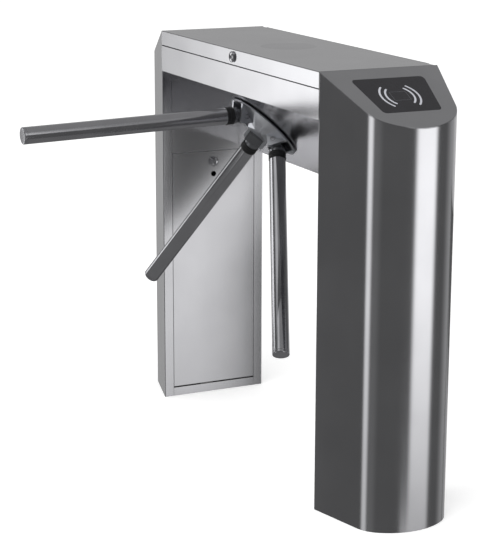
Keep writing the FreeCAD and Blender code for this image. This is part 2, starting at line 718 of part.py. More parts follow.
def arm_point(distance):
    """A point on the axis of the arm at azimuth 0."""
    return V(CONE_SIN * distance, 0, CONE_COS * distance - APEX_BACK)


ARM_WAY = V(CONE_SIN, 0, CONE_COS)
ARM_UP = V(-CONE_COS, 0, CONE_SIN)


def arm_block():
    """The lug on the pin, with the spigot that holds the tube."""
    half = POCKET_HALF - LUG_SIDE_GAP
    pivot = V(PIVOT_R, -half, PIVOT_OUT)
    shoulder_start = COLLAR_START - SHOULDER_LENGTH
    end = arm_point(shoulder_start) + V(0, -half, 0)
    points = [pivot + ARM_UP * LUG_R, end + ARM_UP * LUG_END_HALF, end - ARM_UP * LUG_END_HALF,
              pivot - ARM_UP * LUG_R]
    lug = slab(points, V(0, 2 * half, 0)).fuse(rod(LUG_R, pivot, ALONG_Y, 2 * half))
    shoulder = rod(SHOULDER_R, arm_point(shoulder_start), ARM_WAY, SHOULDER_LENGTH)
    spigot_r = TUBE_R - TUBE_WALL - FIT_GAP
    spigot = rod(spigot_r, arm_point(COLLAR_START), ARM_WAY, SPIGOT_END - COLLAR_START)
    shape = lug.fuse([shoulder, spigot])
    return shape.cut(rod(ARM_PIN_R + RUN_FIT, pivot, ALONG_Y, 2 * half)).removeSplitter()


def arm_collar():
    """The rubber buffer between the lug and the tube."""
    length = COLLAR_LENGTH
    ring = rod(COLLAR_R, arm_point(COLLAR_START), ARM_WAY, length)
    ring = ring.makeFillet(COLLAR_ROUND, [e for e in ring.Edges if isinstance(e.Curve, Part.Circle)])
    return ring.cut(rod(TUBE_R - TUBE_WALL, arm_point(COLLAR_START), ARM_WAY, length))


def arm_tube():
    return tube(TUBE_R, TUBE_R - TUBE_WALL, arm_point(TUBE_START), ARM_WAY, TUBE_END - TUBE_START)


def arm_end_cap():
    """The plug that closes the tube, with a rounded head and a fine groove beside the tube."""
    head = rod(TUBE_R, arm_point(TUBE_END + CAP_GROOVE), ARM_WAY, END_CAP_LENGTH - CAP_GROOVE)
    tip = arm_point(ARM_END)
    head = head.makeFillet(CAP_ROUND, [e for e in head.Edges if isinstance(e.Curve, Part.Circle)
                                       and (e.CenterOfMass - tip).Length < 0.01])
    neck = rod(TUBE_R - CAP_GROOVE, arm_point(TUBE_END), ARM_WAY, CAP_GROOVE)
    plug = rod(TUBE_R - TUBE_WALL - FIT_GAP, arm_point(TUBE_END - CAP_PLUG), ARM_WAY, CAP_PLUG)
    return head.fuse([neck, plug]).removeSplitter()


def mechanism_plate(depth):
    """A plate of the mechanism's cage, whose outer side lies depth behind the face."""
    return box(-PLATE_HALF, PLATE_HALF, -PLATE_FOOT, PLATE_TOP, -depth - PLATE_T, -depth)


def mech_plate():
    """The cage's front plate, on the back of the sloping face."""
    plate = mechanism_plate(SHEET)
    return on_face(plate.cut(rod(SHAFT_HOLE_R, V(0, 0, -SHEET - PLATE_T), ALONG_Z, PLATE_T)))


def rear_plate():
    """The cage's rear plate, which carries the studs, the damper and the solenoids."""
    plate = mechanism_plate(REAR_PLATE_IN)
    return on_face(plate.cut(rod(SHAFT_HOLE_R, V(0, 0, -REAR_PLATE_IN - PLATE_T), ALONG_Z, PLATE_T)))


def plate_spacers():
    """Four pillars between the plates."""
    length = REAR_PLATE_IN - SHEET - PLATE_T
    spots = [(u, v) for u in (-SPACER_U, SPACER_U)
             for v in (SPACER_EDGE - PLATE_FOOT, PLATE_TOP - SPACER_EDGE)]
    return [on_face(rod(SPACER_R, V(u, v, -REAR_PLATE_IN), ALONG_Z, length)) for u, v in spots]


def bearing_housing():
    """A flanged cup for one bearing: its flange lies at the origin and its body runs to -Z."""
    profile = [(BEARING_R + SEAT_FIT, 0), (HOUSING_FLANGE_R, 0), (HOUSING_FLANGE_R, -HOUSING_FLANGE_T),
               (HOUSING_R, -HOUSING_FLANGE_T), (HOUSING_R, -HOUSING_DEPTH), (HOUSING_LIP_R, -HOUSING_DEPTH),
               (HOUSING_LIP_R, HOUSING_LIP - HOUSING_DEPTH), (BEARING_R + SEAT_FIT, HOUSING_LIP - HOUSING_DEPTH)]
    return turned_profile(profile)


def ball_bearing():
    """A sealed bearing against the lip of its housing, with shallow grooves for its seals."""
    z0 = HOUSING_LIP - HOUSING_DEPTH
    z1 = z0 + BEARING_T
    groove = 0.6
    race = (BEARING_R - SHAFT_R) / 4
    inner, outer = SHAFT_R + race, BEARING_R - race
    return turned_profile([(SHAFT_R + RUN_FIT, z0), (inner, z0), (inner, z0 + groove), (outer, z0 + groove),
                           (outer, z0), (BEARING_R, z0), (BEARING_R, z1), (outer, z1),
                           (outer, z1 - groove), (inner, z1 - groove), (inner, z1), (SHAFT_R + RUN_FIT, z1)])


def at_plates(shape):
    """A shape behind the front plate, and the same behind the rear plate."""
    placed = []
    for depth in (SHEET + PLATE_T, REAR_PLATE_IN + PLATE_T):
        moved = shape.copy()
        moved.translate(V(0, 0, -depth))
        placed.append(on_face(moved))
    return placed


def main_shaft():
    """The rotor's shaft, with a shoulder between the gear and the lock wheel."""
    gear_back = -GEAR_IN - GEAR_T
    return on_face(turned_profile([
        (0, -SHAFT_END), (SHAFT_R, -SHAFT_END), (SHAFT_R, -WHEEL_IN), (SHAFT_SHOULDER_R, -WHEEL_IN),
        (SHAFT_SHOULDER_R, gear_back), (SHAFT_R, gear_back), (SHAFT_R, BOSS_DEPTH), (0, BOSS_DEPTH)]))


def shaft_nut():
    """The hexagon nut behind the rear bearing."""
    face = -(REAR_PLATE_IN + PLATE_T + HOUSING_DEPTH)
    corner = NUT_FLATS / math.sqrt(3)
    points = [V(corner * math.cos(math.radians(60 * i)), corner * math.sin(math.radians(60 * i)),
                face - NUT_T) for i in range(6)]
    nut = slab(points, V(0, 0, NUT_T - FIT_GAP))
    collar_r = SHAFT_R + (BEARING_R - SHAFT_R) / 4 - RUN_FIT
    collar = rod(collar_r, V(0, 0, face - FIT_GAP), ALONG_Z, HOUSING_LIP + FIT_GAP / 2)
    bore = rod(SHAFT_R + SEAT_FIT, V(0, 0, face - NUT_T), ALONG_Z, NUT_T + HOUSING_LIP)
    return on_face(nut.fuse(collar).cut(bore).removeSplitter())


def tooth_half_angle(teeth, radius):
    """Half the angle that a tooth fills at radius, with involute flanks."""
    pitch_r = MODULE * teeth / 2
    pressure = math.radians(PRESSURE_ANGLE)
    at_radius = math.acos(min(1.0, pitch_r * math.cos(pressure) / radius))
    half = math.pi / (2 * teeth) - BACKLASH / (4 * pitch_r)
    return half + (math.tan(pressure) - pressure) - (math.tan(at_radius) - at_radius)


def gear_outline(teeth, first_degrees):
    """The points of a spur gear, whose first tooth is centred on first_degrees."""
    steps = 5
    pitch_r = MODULE * teeth / 2
    root = pitch_r - 1.25 * MODULE
    tip = pitch_r + MODULE
    base = pitch_r * math.cos(math.radians(PRESSURE_ANGLE))
    start = max(root, base)
    radii = [start + (tip - start) * i / steps for i in range(steps + 1)]
    flank = [(r, tooth_half_angle(teeth, r)) for r in radii]
    if root < base:
        flank = [(root, flank[0][1])] + flank
    points = []
    for tooth in range(teeth):
        centre = math.radians(first_degrees) + 2 * math.pi * tooth / teeth
        for r, half in [(r, -a) for r, a in flank] + list(reversed(flank)):
            points.append(V(r * math.cos(centre + half), r * math.sin(centre + half), 0))
    return points


def gear(teeth, first_degrees):
    """A spur gear at the gears' depth, on the axis of the face frame."""
    shape = slab(gear_outline(teeth, first_degrees), V(0, 0, GEAR_T))
    shape.translate(V(0, 0, -GEAR_IN - GEAR_T))
    return shape


def drive_gear():
    """The gear on the main shaft."""
    bore = rod(SHAFT_R + SEAT_FIT, V(0, 0, -GEAR_IN - GEAR_T), ALONG_Z, GEAR_T)
    return on_face(gear(GEAR_TEETH, 0).cut(bore))


def pinion_spot(azimuth):
    """The axis of a pinion, in the face frame."""
    turn = math.radians(azimuth)
    return V(CENTRE_DISTANCE * math.cos(turn), CENTRE_DISTANCE * math.sin(turn), 0)


def pinion(azimuth):
    """A pinion whose tooth gap faces the drive gear's tooth."""
    shape = gear(PINION_TEETH, azimuth + 180 + 180 / PINION_TEETH)
    shape.translate(pinion_spot(azimuth))
    return shape


def centring_crank():
    """A pinion on a stud, with the crank pin that the centring spring pulls."""
    spot = pinion_spot(PINION_AZIMUTH)
    back = -GEAR_IN - GEAR_T
    disc = rod(CRANK_DISC_R, spot + V(0, 0, back - CRANK_DISC_T), ALONG_Z, CRANK_DISC_T)
    pin = rod(CRANK_PIN_R, spot + V(CRANK_R, 0, back - CRANK_DISC_T - CRANK_PIN_LENGTH), ALONG_Z,
              CRANK_PIN_LENGTH)
    bore = rod(STUD_R + RUN_FIT, spot + V(0, 0, back - CRANK_DISC_T), ALONG_Z, GEAR_T + CRANK_DISC_T)
    return on_face(pinion(PINION_AZIMUTH).fuse([disc, pin]).cut(bore).removeSplitter())


SPRING_IN = GEAR_IN + GEAR_T + CRANK_DISC_T + CRANK_PIN_LENGTH / 2


def centring_spring():
    """The extension spring from the crank pin to its post: closed coils as one sleeve, and two eyes."""
    start = pinion_spot(PINION_AZIMUTH) + V(CRANK_R, 0, -SPRING_IN)
    eye_r = CRANK_PIN_R + SPRING_EYE_GAP + SPRING_WIRE_R
    sleeve_gap = eye_r + SPRING_WIRE_R / 2
    sleeve = tube(SPRING_R, SPRING_R - 2 * SPRING_WIRE_R, start + V(sleeve_gap, 0, 0), ALONG_X,
                  SPRING_SPAN - 2 * sleeve_gap)
    caps = [rod(SPRING_R, start + V(x, 0, 0), ALONG_X, SPRING_WIRE_R)
            for x in (sleeve_gap, SPRING_SPAN - sleeve_gap - SPRING_WIRE_R)]
    eyes = [Part.makeTorus(eye_r, SPRING_WIRE_R, start + V(x, 0, 0), ALONG_Z) for x in (0, SPRING_SPAN)]
    return on_face(sleeve.fuse(caps + eyes).removeSplitter())


def damper_body():
    """The rotary damper on the rear plate."""
    spot = pinion_spot(180 - PINION_AZIMUTH)
    body = rod(DAMPER_R, spot + V(0, 0, -REAR_PLATE_IN), ALONG_Z, DAMPER_LENGTH)
    bore = rod(STUD_R + RUN_FIT, spot + V(0, 0, -REAR_PLATE_IN + DAMPER_LENGTH / 2), ALONG_Z, DAMPER_LENGTH)
    return on_face(body.cut(bore))


def damper_pinion():
    """The damper's pinion and shaft."""
    azimuth = 180 - PINION_AZIMUTH
    depth = REAR_PLATE_IN - DAMPER_LENGTH / 2 - 1
    shaft = rod(STUD_R, pinion_spot(azimuth) + V(0, 0, -depth), ALONG_Z, depth - GEAR_IN)
    return on_face(pinion(azimuth).fuse(shaft).removeSplitter())


def lock_wheel():
    """The wheel whose notches the pawls catch."""
    wheel = tube(WHEEL_R, SHAFT_R + SEAT_FIT, V(0, 0, -WHEEL_IN - WHEEL_T), ALONG_Z, WHEEL_T)
    notch = box(WHEEL_R - NOTCH_DEPTH, WHEEL_R + 1, -NOTCH_W / 2, NOTCH_W / 2, -WHEEL_IN - WHEEL_T, -WHEEL_IN)
    return on_face(wheel.cut([at_azimuth(notch, 360 * i / NOTCHES) for i in range(NOTCHES)]))


def locking_pawl():
    """The right-hand pawl, drawn in its notch and swung out to its rest."""
    u, v = PAWL_PIVOT
    z0 = -WHEEL_IN - WHEEL_T
    up = V(0, 0, WHEEL_T)
    tip = WHEEL_R - NOTCH_DEPTH + TOOTH_TIP_GAP
    half = PAWL_ARM_W / 2
    head = TOOTH_HALF + 2
    arm = slab([V(u + half, v, z0), V(TOOTH_BACK + PAWL_HEAD_W, head, z0), V(TOOTH_BACK, head, z0),
                V(TOOTH_BACK, -head - 3, z0), V(u - half, v, z0)], up)
    tooth = box(tip, TOOTH_BACK + 2, -TOOTH_HALF, TOOTH_HALF, z0, z0 + WHEEL_T)
    eye = rod(PAWL_EYE_R, V(u, v, z0), ALONG_Z, WHEEL_T)
    tail_end = u + PAWL_TAIL + 3 * FORK_PIN_R
    tail = box(u, tail_end, v - PAWL_TAIL_HALF, v + PAWL_TAIL_HALF, z0, z0 + WHEEL_T)
    slot_half = FORK_PIN_R + FORK_GAP
    slot = box(u + PAWL_TAIL - slot_half, u + PAWL_TAIL + slot_half, v - slot_half, v + slot_half,
               z0, z0 + WHEEL_T)
    shape = arm.fuse([tooth, eye, tail]).cut(slot)
    shape = shape.cut(rod(STUD_R + RUN_FIT, V(u, v, z0), ALONG_Z, WHEEL_T)).removeSplitter()
    shape.rotate(V(u, v, 0), ALONG_Z, -PAWL_SWING)
    return on_face(shape)


def fork_spot():
    """The fork pin's place on the right at rest, in the face frame."""
    swing = math.radians(PAWL_SWING)
    u, v = PAWL_PIVOT
    return V(u + PAWL_TAIL * math.cos(swing), v - PAWL_TAIL * math.sin(swing), -WHEEL_IN - WHEEL_T / 2)


def plunger():
    """The right-hand solenoid's plunger, with its fork round the pawl's tail."""
    spot = fork_spot()
    inner = WHEEL_T / 2 + FORK_GAP
    outer = inner + FORK_CHEEK
    half = PLUNGER_R
    top = spot.y + PAWL_TAIL_HALF + 3
    block = box(spot.x - half, spot.x + half, spot.y - PAWL_TAIL_HALF, top + 3, spot.z - outer, spot.z + outer)
    block = block.cut(box(spot.x - half, spot.x + half, spot.y - PAWL_TAIL_HALF, top,
                          spot.z - inner, spot.z + inner))
    pin = rod(FORK_PIN_R, spot - V(0, 0, outer), ALONG_Z, 2 * outer)
    stem = rod(PLUNGER_R, V(spot.x, top + 3, spot.z), ALONG_Y, -SOLENOID_FOOT - 2)
    return on_face(block.fuse([pin, stem]).removeSplitter())


def solenoid():
    """The right-hand solenoid, on the rear plate."""
    spot = fork_spot()
    front = spot.z + SOLENOID_HALF
    body = box(spot.x - SOLENOID_HALF, spot.x + SOLENOID_HALF, SOLENOID_FOOT, SOLENOID_HEAD,
               -REAR_PLATE_IN, front)
    bore = rod(PLUNGER_R + RUN_FIT, V(spot.x, SOLENOID_FOOT, spot.z), ALONG_Y,
               SOLENOID_HEAD - SOLENOID_FOOT - 6)
    return on_face(body.cut(bore))


def pivot_pins():
    """The studs on the rear plate: two for the pawls, the crank's, and the spring's post."""
    u, v = PAWL_PIVOT
    crank = pinion_spot(PINION_AZIMUTH)
    post = crank + V(CRANK_R + SPRING_SPAN, 0, 0)
    pawl_length = REAR_PLATE_IN - WHEEL_IN + 3
    crank_length = REAR_PLATE_IN - GEAR_IN + 2
    post_length = REAR_PLATE_IN - SPRING_IN + CRANK_PIN_LENGTH / 2
    base = V(0, 0, -REAR_PLATE_IN)
    pins = [rod(STUD_R, base + V(side * u, v, 0), ALONG_Z, pawl_length) for side in (-1, 1)]
    pins.append(rod(STUD_R, base + crank, ALONG_Z, crank_length))
    pins.append(rod(CRANK_PIN_R, base + post, ALONG_Z, post_length))
    return [on_face(pin) for pin in pins]


def control_board():
    """The control board on four feet, with its relays and its terminal row."""
    length, width, thick = BOARD
    floor = UNDERSIDE_Z + SHEET
    z0 = floor + BOARD_STANDOFF
    x0, y0 = BOARD_X - length / 2, BOARD_Y - width / 2
    shape = box(x0, x0 + length, y0, y0 + width, z0, z0 + thick)
    top = z0 + thick
    foot = BOARD_FOOT_IN
    feet = [rod(BOARD_FOOT_R, V(x0 + dx, y0 + dy, floor), ALONG_Z, BOARD_STANDOFF)
            for dx in (foot, length - foot) for dy in (foot, width - foot)]
    relay_x, relay_y = x0 + RELAY_IN[0], y0 + RELAY_IN[1]
    step = RELAY[0] + RELAY_GAP
    relays = [box(x, x + RELAY[0], relay_y, relay_y + RELAY[1], top, top + RELAY[2])
              for x in [relay_x + step * i for i in range(RELAYS)]]
    row_y = y0 + width - TERMINALS_BACK
    terminals = box(x0 + TERMINALS_IN, x0 + length - TERMINALS_IN, row_y - TERMINALS_W, row_y, top,
                    top + TERMINALS_HIGH)
    return shape.fuse(feet + relays + [terminals]).removeSplitter()


def power_supply():
    """The power supply's vented case."""
    length, width, high = SUPPLY
    floor = UNDERSIDE_Z + SHEET
    x0, y0 = SUPPLY_X - length / 2, BOARD_Y - width / 2
    case = box(x0, x0 + length, y0, y0 + width, floor, floor + high)
    first, side = x0 + SUPPLY_SLOT_IN[0], SUPPLY_SLOT_IN[1]
    step = SUPPLY_SLOT_W + SUPPLY_SLOT_GAP
    slots = [box(first + step * i, first + step * i + SUPPLY_SLOT_W, y0 + side, y0 + width - side,
                 floor + high - SUPPLY_WALL, floor + high) for i in range(SUPPLY_SLOTS)]
    return case.cut(slots)


def save(node, *shapes):
    """Writes one node's solids, after checking that each is one sound solid."""
    solids = [solid for shape in shapes for solid in shape.Solids]
    if len(solids) != len(shapes) or not all(solid.isValid() for solid in solids):
        raise ValueError(f"{node}: {len(solids)} solids from {len(shapes)} pieces")
    whole = solids[0] if len(solids) == 1 else Part.makeCompound(solids)
    whole.exportStep(f"parts/{node}.step")


def both(shape):
    """The near piece and its mirror image at the far end."""
    return [shape, mirrored(shape)]


def build_legs():
    save("leg_skin_near", leg_skin())
    save("leg_skin_far", mirrored(leg_skin()))
    save("leg_frame_near", leg_frame())
    save("leg_frame_far", mirrored(leg_frame()))
    save("upper_panels", *both(upper_panel()))
    save("kick_strips", *both(kick_strip()))
    save("leg_caps", *both(leg_cap()))
    save("base_plates", *both(base_plate()))
    save("reader_windows", *both(reader_window()))
    save("reader_modules", *both(reader_module()))


def build_doors():
    barrel = at_door_lock(lock_barrel(DOOR_LOCK_DEPTH))
    core = at_door_lock(lock_core(DOOR_LOCK_DEPTH))
    save("door_near", door())
    save("door_far", mirrored(door()))
    save("door_lock_barrel_near", barrel)
    save("door_lock_barrel_far", mirrored(barrel))
    save("door_lock_cam_near", core)
    save("door_lock_cam_far", mirrored(core))
    save("hinge_pins", lid_hinge_pin(), *both(door_hinge_rod()))


def build_bridge():
    save("bridge_chassis", bridge_chassis())
    save("face_screws", face_screw(-FACE_SCREW_X), face_screw(FACE_SCREW_X))
    save("lid", lid())
    save("lid_disc", lid_disc())
    save("lid_hinge_base", lid_hinge_base())
    save("lid_hinge_leaf", lid_hinge_leaf())
    save("lid_lock_barrel", at_lid_lock(lock_barrel(LID_LOCK_DEPTH)))
    save("lid_lock_cam", at_lid_lock(lock_core(LID_LOCK_DEPTH)))
    save("control_board", control_board())
    save("power_supply", power_supply())


def build_mechanism():
    save("mech_plate", mech_plate())
    save("rear_plate", rear_plate())
    save("plate_spacers", *plate_spacers())
    save("bearing_housings", *at_plates(bearing_housing()))
    save("ball_bearings", *at_plates(ball_bearing()))
    save("pivot_pins", *pivot_pins())
    save("centring_spring", centring_spring())
    save("solenoids", *both(solenoid()))
    save("damper_body", damper_body())
    save("main_shaft", main_shaft())
    save("shaft_nut", shaft_nut())
    save("drive_gear", drive_gear())
    save("lock_wheel", lock_wheel())
    save("centring_crank", centring_crank())
    save("damper_pinion", damper_pinion())
    save("locking_pawl_right", locking_pawl())
    save("locking_pawl_left", mirrored(locking_pawl()))
    save("plunger_right", plunger())
    save("plunger_left", mirrored(plunger()))


def build_rotor():
    save("hub", hub())
    save("arm_pins", *[arm_pin(azimuth) for azimuth in ARM_AZIMUTHS])
    for number, azimuth in enumerate(ARM_AZIMUTHS, start=1):
        save(f"arm_block_{number}", on_face(at_azimuth(arm_block(), azimuth)))
        save(f"arm_collar_{number}", on_face(at_azimuth(arm_collar(), azimuth)))
        save(f"arm_tube_{number}", on_face(at_azimuth(arm_tube(), azimuth)))
        save(f"arm_end_cap_{number}", on_face(at_azimuth(arm_end_cap(), azimuth)))


def main():
    os.makedirs("parts", exist_ok=True)
    build_legs()
    build_doors()
    build_bridge()
    build_mechanism()
    build_rotor()


main()
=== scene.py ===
"""Looks of a waist-high tripod turnstile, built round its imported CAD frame."""
import logging
import math
from dataclasses import dataclass
from enum import Enum
from functools import partial
from typing import Any, Callable, ClassVar, Iterable, Mapping, Optional, Sequence, Union

import bmesh
import bpy
from mathutils import Matrix, Vector


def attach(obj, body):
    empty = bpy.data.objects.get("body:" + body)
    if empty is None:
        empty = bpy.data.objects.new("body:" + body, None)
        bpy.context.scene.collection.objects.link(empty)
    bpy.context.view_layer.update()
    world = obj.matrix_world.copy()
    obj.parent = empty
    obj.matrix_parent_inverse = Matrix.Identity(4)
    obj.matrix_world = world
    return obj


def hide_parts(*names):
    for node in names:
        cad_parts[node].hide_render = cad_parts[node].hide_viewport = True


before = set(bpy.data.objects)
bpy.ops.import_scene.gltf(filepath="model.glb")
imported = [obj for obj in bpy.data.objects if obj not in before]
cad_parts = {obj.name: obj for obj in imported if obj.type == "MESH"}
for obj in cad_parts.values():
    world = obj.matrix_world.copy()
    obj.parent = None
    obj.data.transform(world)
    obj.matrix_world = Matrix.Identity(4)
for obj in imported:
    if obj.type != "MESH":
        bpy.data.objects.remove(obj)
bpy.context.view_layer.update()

LOG = logging.getLogger("turnstile")

Mesh = bpy.types.Mesh
Node = bpy.types.Node
Object = bpy.types.Object
Tree = bpy.types.NodeTree
Source = Union[bpy.types.Node, bpy.types.NodeSocket]
Point = tuple[float, float]
Lift = Callable[[float, float, float], Vector]

MM = 0.001
WHITE = "#ffffff"
# Vertices nearer than this are one, and faces that turn by less than this are one flat face.
MERGE_MM = 0.002
FLAT_DEG = 0.3
# Faces that turn by more than this meet in a sharp edge, on turned pieces and gears, and on studs.
TURNED_DEG = 40.0
STUD_DEG = 35.0
# A colour or a gloss goes from one end to the other over this part of a noise.
NOISE_SPAN = (0.3, 0.7)
# How fast a pattern of strokes changes along a stroke, against 1 across it.
ALONG_STROKE = 0.01


def linear(code: str) -> tuple[float, float, float, float]:
    """Turns an sRGB hex colour into linear light.

    Args:
        code: Six hex digits after a hash sign.

    Returns:
        Red, green, blue and an alpha of 1.
    """
    channels = [int(code[i:i + 2], 16) / 255 for i in (1, 3, 5)]
    values = [c / 12.92 if c <= 0.04045 else ((c + 0.055) / 1.055) ** 2.4 for c in channels]
    return (values[0], values[1], values[2], 1.0)


def add_node(tree: Tree, kind: str, inputs: Optional[Mapping[Any, Any]] = None, **settings: Any) -> Node:
    """Adds one node, sets it up and links it.

    Args:
        tree: The tree that gets the node.
        kind: The node's type name.
        inputs: By name or number, a value, an output socket, or a node, whose first output is meant.
        settings: Attributes of the node.

    Returns:
        The new node.
    """
    node = tree.nodes.new(kind)
    for key, value in settings.items():
        setattr(node, key, value)
    for key, value in (inputs or {}).items():
        source = value.outputs[0] if isinstance(value, bpy.types.Node) else value
        if isinstance(source, bpy.types.NodeSocket):
            tree.links.new(source, node.inputs[key])
        else:
            node.inputs[key].default_value = source
    return node


def blank_tree(owner: Union[bpy.types.Material, bpy.types.World]) -> Tree:
    """Turns on the nodes of a material or the world, and empties them.

    Args:
        owner: The material or world.

    Returns:
        Its empty tree.
    """
    owner.use_nodes = True
    owner.node_tree.nodes.clear()
    return owner.node_tree


def new_object(name: str, data: bpy.types.ID) -> Object:
    """Sets an object in the scene.

    Args:
        name: The object's name.
        data: Its mesh, light or camera.

    Returns:
        The object, at the origin.
    """
    obj = bpy.data.objects.new(name, data)
    bpy.context.scene.collection.objects.link(obj)
    return obj


class Grain(Enum):
    """The axis that the brushing strokes run along."""

    UPRIGHT = (0.0, 0.0, 1.0)
    ALONG_BRIDGE = (1.0, 0.0, 0.0)
    ACROSS = (0.0, 1.0, 0.0)

    def stretch(self) -> list[float]:
        """How fast a pattern of strokes changes along each axis."""
        return [ALONG_STROKE if share else 1.0 for share in self.value]


@dataclass(frozen=True)
class Finish:
    """A surface finish. Each kind builds its own nodes once, and pieces share the material."""

    name: str

    def material(self) -> bpy.types.Material:
        """Finds the finish's material, or makes it on first use.

        Returns:
            The material.
        """
        made = bpy.data.materials.get(self.name)
        if made is None:
            made = bpy.data.materials.new(self.name)
            tree = blank_tree(made)
            add_node(tree, "ShaderNodeOutputMaterial", {"Surface": self.shader(tree)})
        return made

    def shader(self, tree: Tree) -> Node:
        """Builds the surface shader in tree and returns it."""
        raise NotImplementedError


@dataclass(frozen=True)
class Patterned(Finish):
    """A finish whose fine pattern leads its gloss and relief, and whose wide clouds lead its colour."""

    dark: str
    light: str
    roughness: float
    gloss_span: tuple[float, float] = (-0.03, 0.03)
    grain_mm: float = 0.7
    cloud_mm: float = 35.0
    depth_mm: float = 0.003

    def noise(self, tree: Tree, spacing_mm: float, stretch: Sequence[float] = (1, 1, 1),
              source: str = "Object", detail: float = 2.0) -> Source:
        """A noise pattern at a real spacing.

        Args:
            tree: The material's tree.
            spacing_mm: Distance between the pattern's features.
            stretch: How fast the pattern changes along each axis.
            source: The coordinates that it reads.
            detail: Octaves of finer noise.

        Returns:
            The noise value's socket.
        """
        place = add_node(tree, "ShaderNodeTexCoord")
        spread = add_node(tree, "ShaderNodeMapping", {
            "Vector": place.outputs[source], "Scale": [s / (spacing_mm * MM) for s in stretch]})
        made = add_node(tree, "ShaderNodeTexNoise", {"Vector": spread, "Scale": 1.0, "Detail": detail})
        return made.outputs["Fac"]

    def pattern(self, tree: Tree) -> Source:
        """The fine pattern: an even grain."""
        return self.noise(tree, self.grain_mm, detail=3.0)

    def others(self, tree: Tree) -> dict[str, Any]:
        """The shader's inputs that neither pattern leads."""
        return {"Metallic": 1.0}

    def shader(self, tree: Tree) -> Node:
        """Builds the surface shader.

        Args:
            tree: The material's tree.

        Returns:
            The shader's node.
        """
        low, high = NOISE_SPAN
        fine = self.pattern(tree)
        tint = add_node(tree, "ShaderNodeValToRGB", {"Fac": self.noise(tree, self.cloud_mm)})
        for i, (place, colour) in enumerate(((low, self.dark), (high, self.light))):
            tint.color_ramp.elements[i].position = place
            tint.color_ramp.elements[i].color = linear(colour)
        rough = add_node(tree, "ShaderNodeMapRange", {
            "Value": fine, "From Min": low, "From Max": high,
            "To Min": self.roughness + self.gloss_span[0], "To Max": self.roughness + self.gloss_span[1]})
        inputs = {"Base Color": tint, "Roughness": rough, **self.others(tree)}
        if self.depth_mm > 0:
            inputs["Normal"] = add_node(tree, "ShaderNodeBump", {
                "Height": fine, "Distance": self.depth_mm * MM, "Strength": 1.0})
        return add_node(tree, "ShaderNodeBsdfPrincipled", inputs)


@dataclass(frozen=True)
class GrainyMetal(Patterned):
    """Metal with an even grain, such as a blasted casting, a machined face or zinc plate.

    Most real grain is finer than 0.2 mm, too fine to show, so it is drawn 0.7 mm apart.
    """


@dataclass(frozen=True)
class BrushedSteel(Patterned):
    """Stainless steel sheet, brushed with a belt: fine straight strokes, and a soft streaked gloss.

    The real strokes are about 0.1 mm apart, too fine to show, so they are drawn 0.7 mm apart.
    """

    dark: str = "#c8c8cb"
    light: str = "#d0d0d3"
    roughness: float = 0.14
    gloss_span: tuple[float, float] = (-0.012, 0.012)
    cloud_mm: float = 140.0
    depth_mm: float = 0.0005
    grain: Grain = Grain.UPRIGHT
    across: float = 0.2

    def pattern(self, tree: Tree) -> Source:
        """The fine pattern: long strokes."""
        return self.noise(tree, self.grain_mm, self.grain.stretch(), detail=3.0)

    def others(self, tree: Tree) -> dict[str, Any]:
        """Spreads the highlights across the strokes.

        Args:
            tree: The material's tree.

        Returns:
            The shader's inputs that neither pattern leads.
        """
        facing = add_node(tree, "ShaderNodeNewGeometry")
        across = add_node(tree, "ShaderNodeVectorMath", {
            0: facing.outputs["True Normal"], 1: self.grain.value}, operation="CROSS_PRODUCT")
        return {"Metallic": 1.0, "Anisotropic": self.across, "Tangent": across}


@dataclass(frozen=True)
class PolishedTube(Patterned):
    """Stainless tube, polished lengthwise: a mirror blurred a little, with faint drawn lines."""

    dark: str = "#c2c2c6"
    light: str = "#cbcbcf"
    roughness: float = 0.15
    gloss_span: tuple[float, float] = (-0.015, 0.02)
    cloud_mm: float = 60.0
    depth_mm: float = 0.0

    def pattern(self, tree: Tree) -> Source:
        """Drawn lines, on the UV map, which counts turns round the tube and metres along it."""
        return self.noise(tree, 900.0, (90.0, 1.0, 1.0), source="UV")


@dataclass(frozen=True)
class Moulded(Patterned):
    """Plastic, rubber, lacquer or ink: one colour with a fine grain.

    The real grain is about 0.2 mm apart, too fine to show, so it is drawn 0.8 mm apart.
    """

    gloss_span: tuple[float, float] = (-0.06, 0.06)
    grain_mm: float = 0.8
    cloud_mm: float = 25.0
    depth_mm: float = 0.03
    coat: float = 0.0

    def others(self, tree: Tree) -> dict[str, Any]:
        """The shader's inputs that neither pattern leads: a thin clear coat."""
        return {"Coat Weight": self.coat, "Coat Roughness": 0.08}


@dataclass(frozen=True)
class CircuitBoard(Finish):
    """Glass-fibre board under green solder mask: glossy, with lighter copper tracks beneath."""

    track_mm: float = 5.0

    def shader(self, tree: Tree) -> Node:
        """Builds the surface shader, with the tracks as a brick pattern.

        Args:
            tree: The material's tree.

        Returns:
            The shader's node.
        """
        place = add_node(tree, "ShaderNodeTexCoord")
        tracks = add_node(tree, "ShaderNodeTexBrick", {
            "Vector": place.outputs["Object"], "Scale": 1 / (self.track_mm * MM), "Mortar Size": 0.03,
            "Color1": linear("#0f4a2a"), "Color2": linear("#0d4326"), "Mortar": linear("#1f6b3d")})
        return add_node(tree, "ShaderNodeBsdfPrincipled", {
            "Base Color": tracks.outputs["Color"], "Roughness": 0.3, "Coat Weight": 0.4})


# Belt-brushed stainless sheet, strokes upright: satin, with soft upright bands of light.
SKIN = BrushedSteel("brushed_stainless_upright")
# The same sheet, brushed along the bridge: its highlights are drawn out up and down.
BRIDGE_SKIN = BrushedSteel("brushed_stainless_bridge", roughness=0.18, grain=Grain.ALONG_BRIDGE, across=0.55)
# The same sheet, brushed across the slanted cap: one even grey sheen.
CAP_SKIN = BrushedSteel("brushed_stainless_cap", grain=Grain.ACROSS)
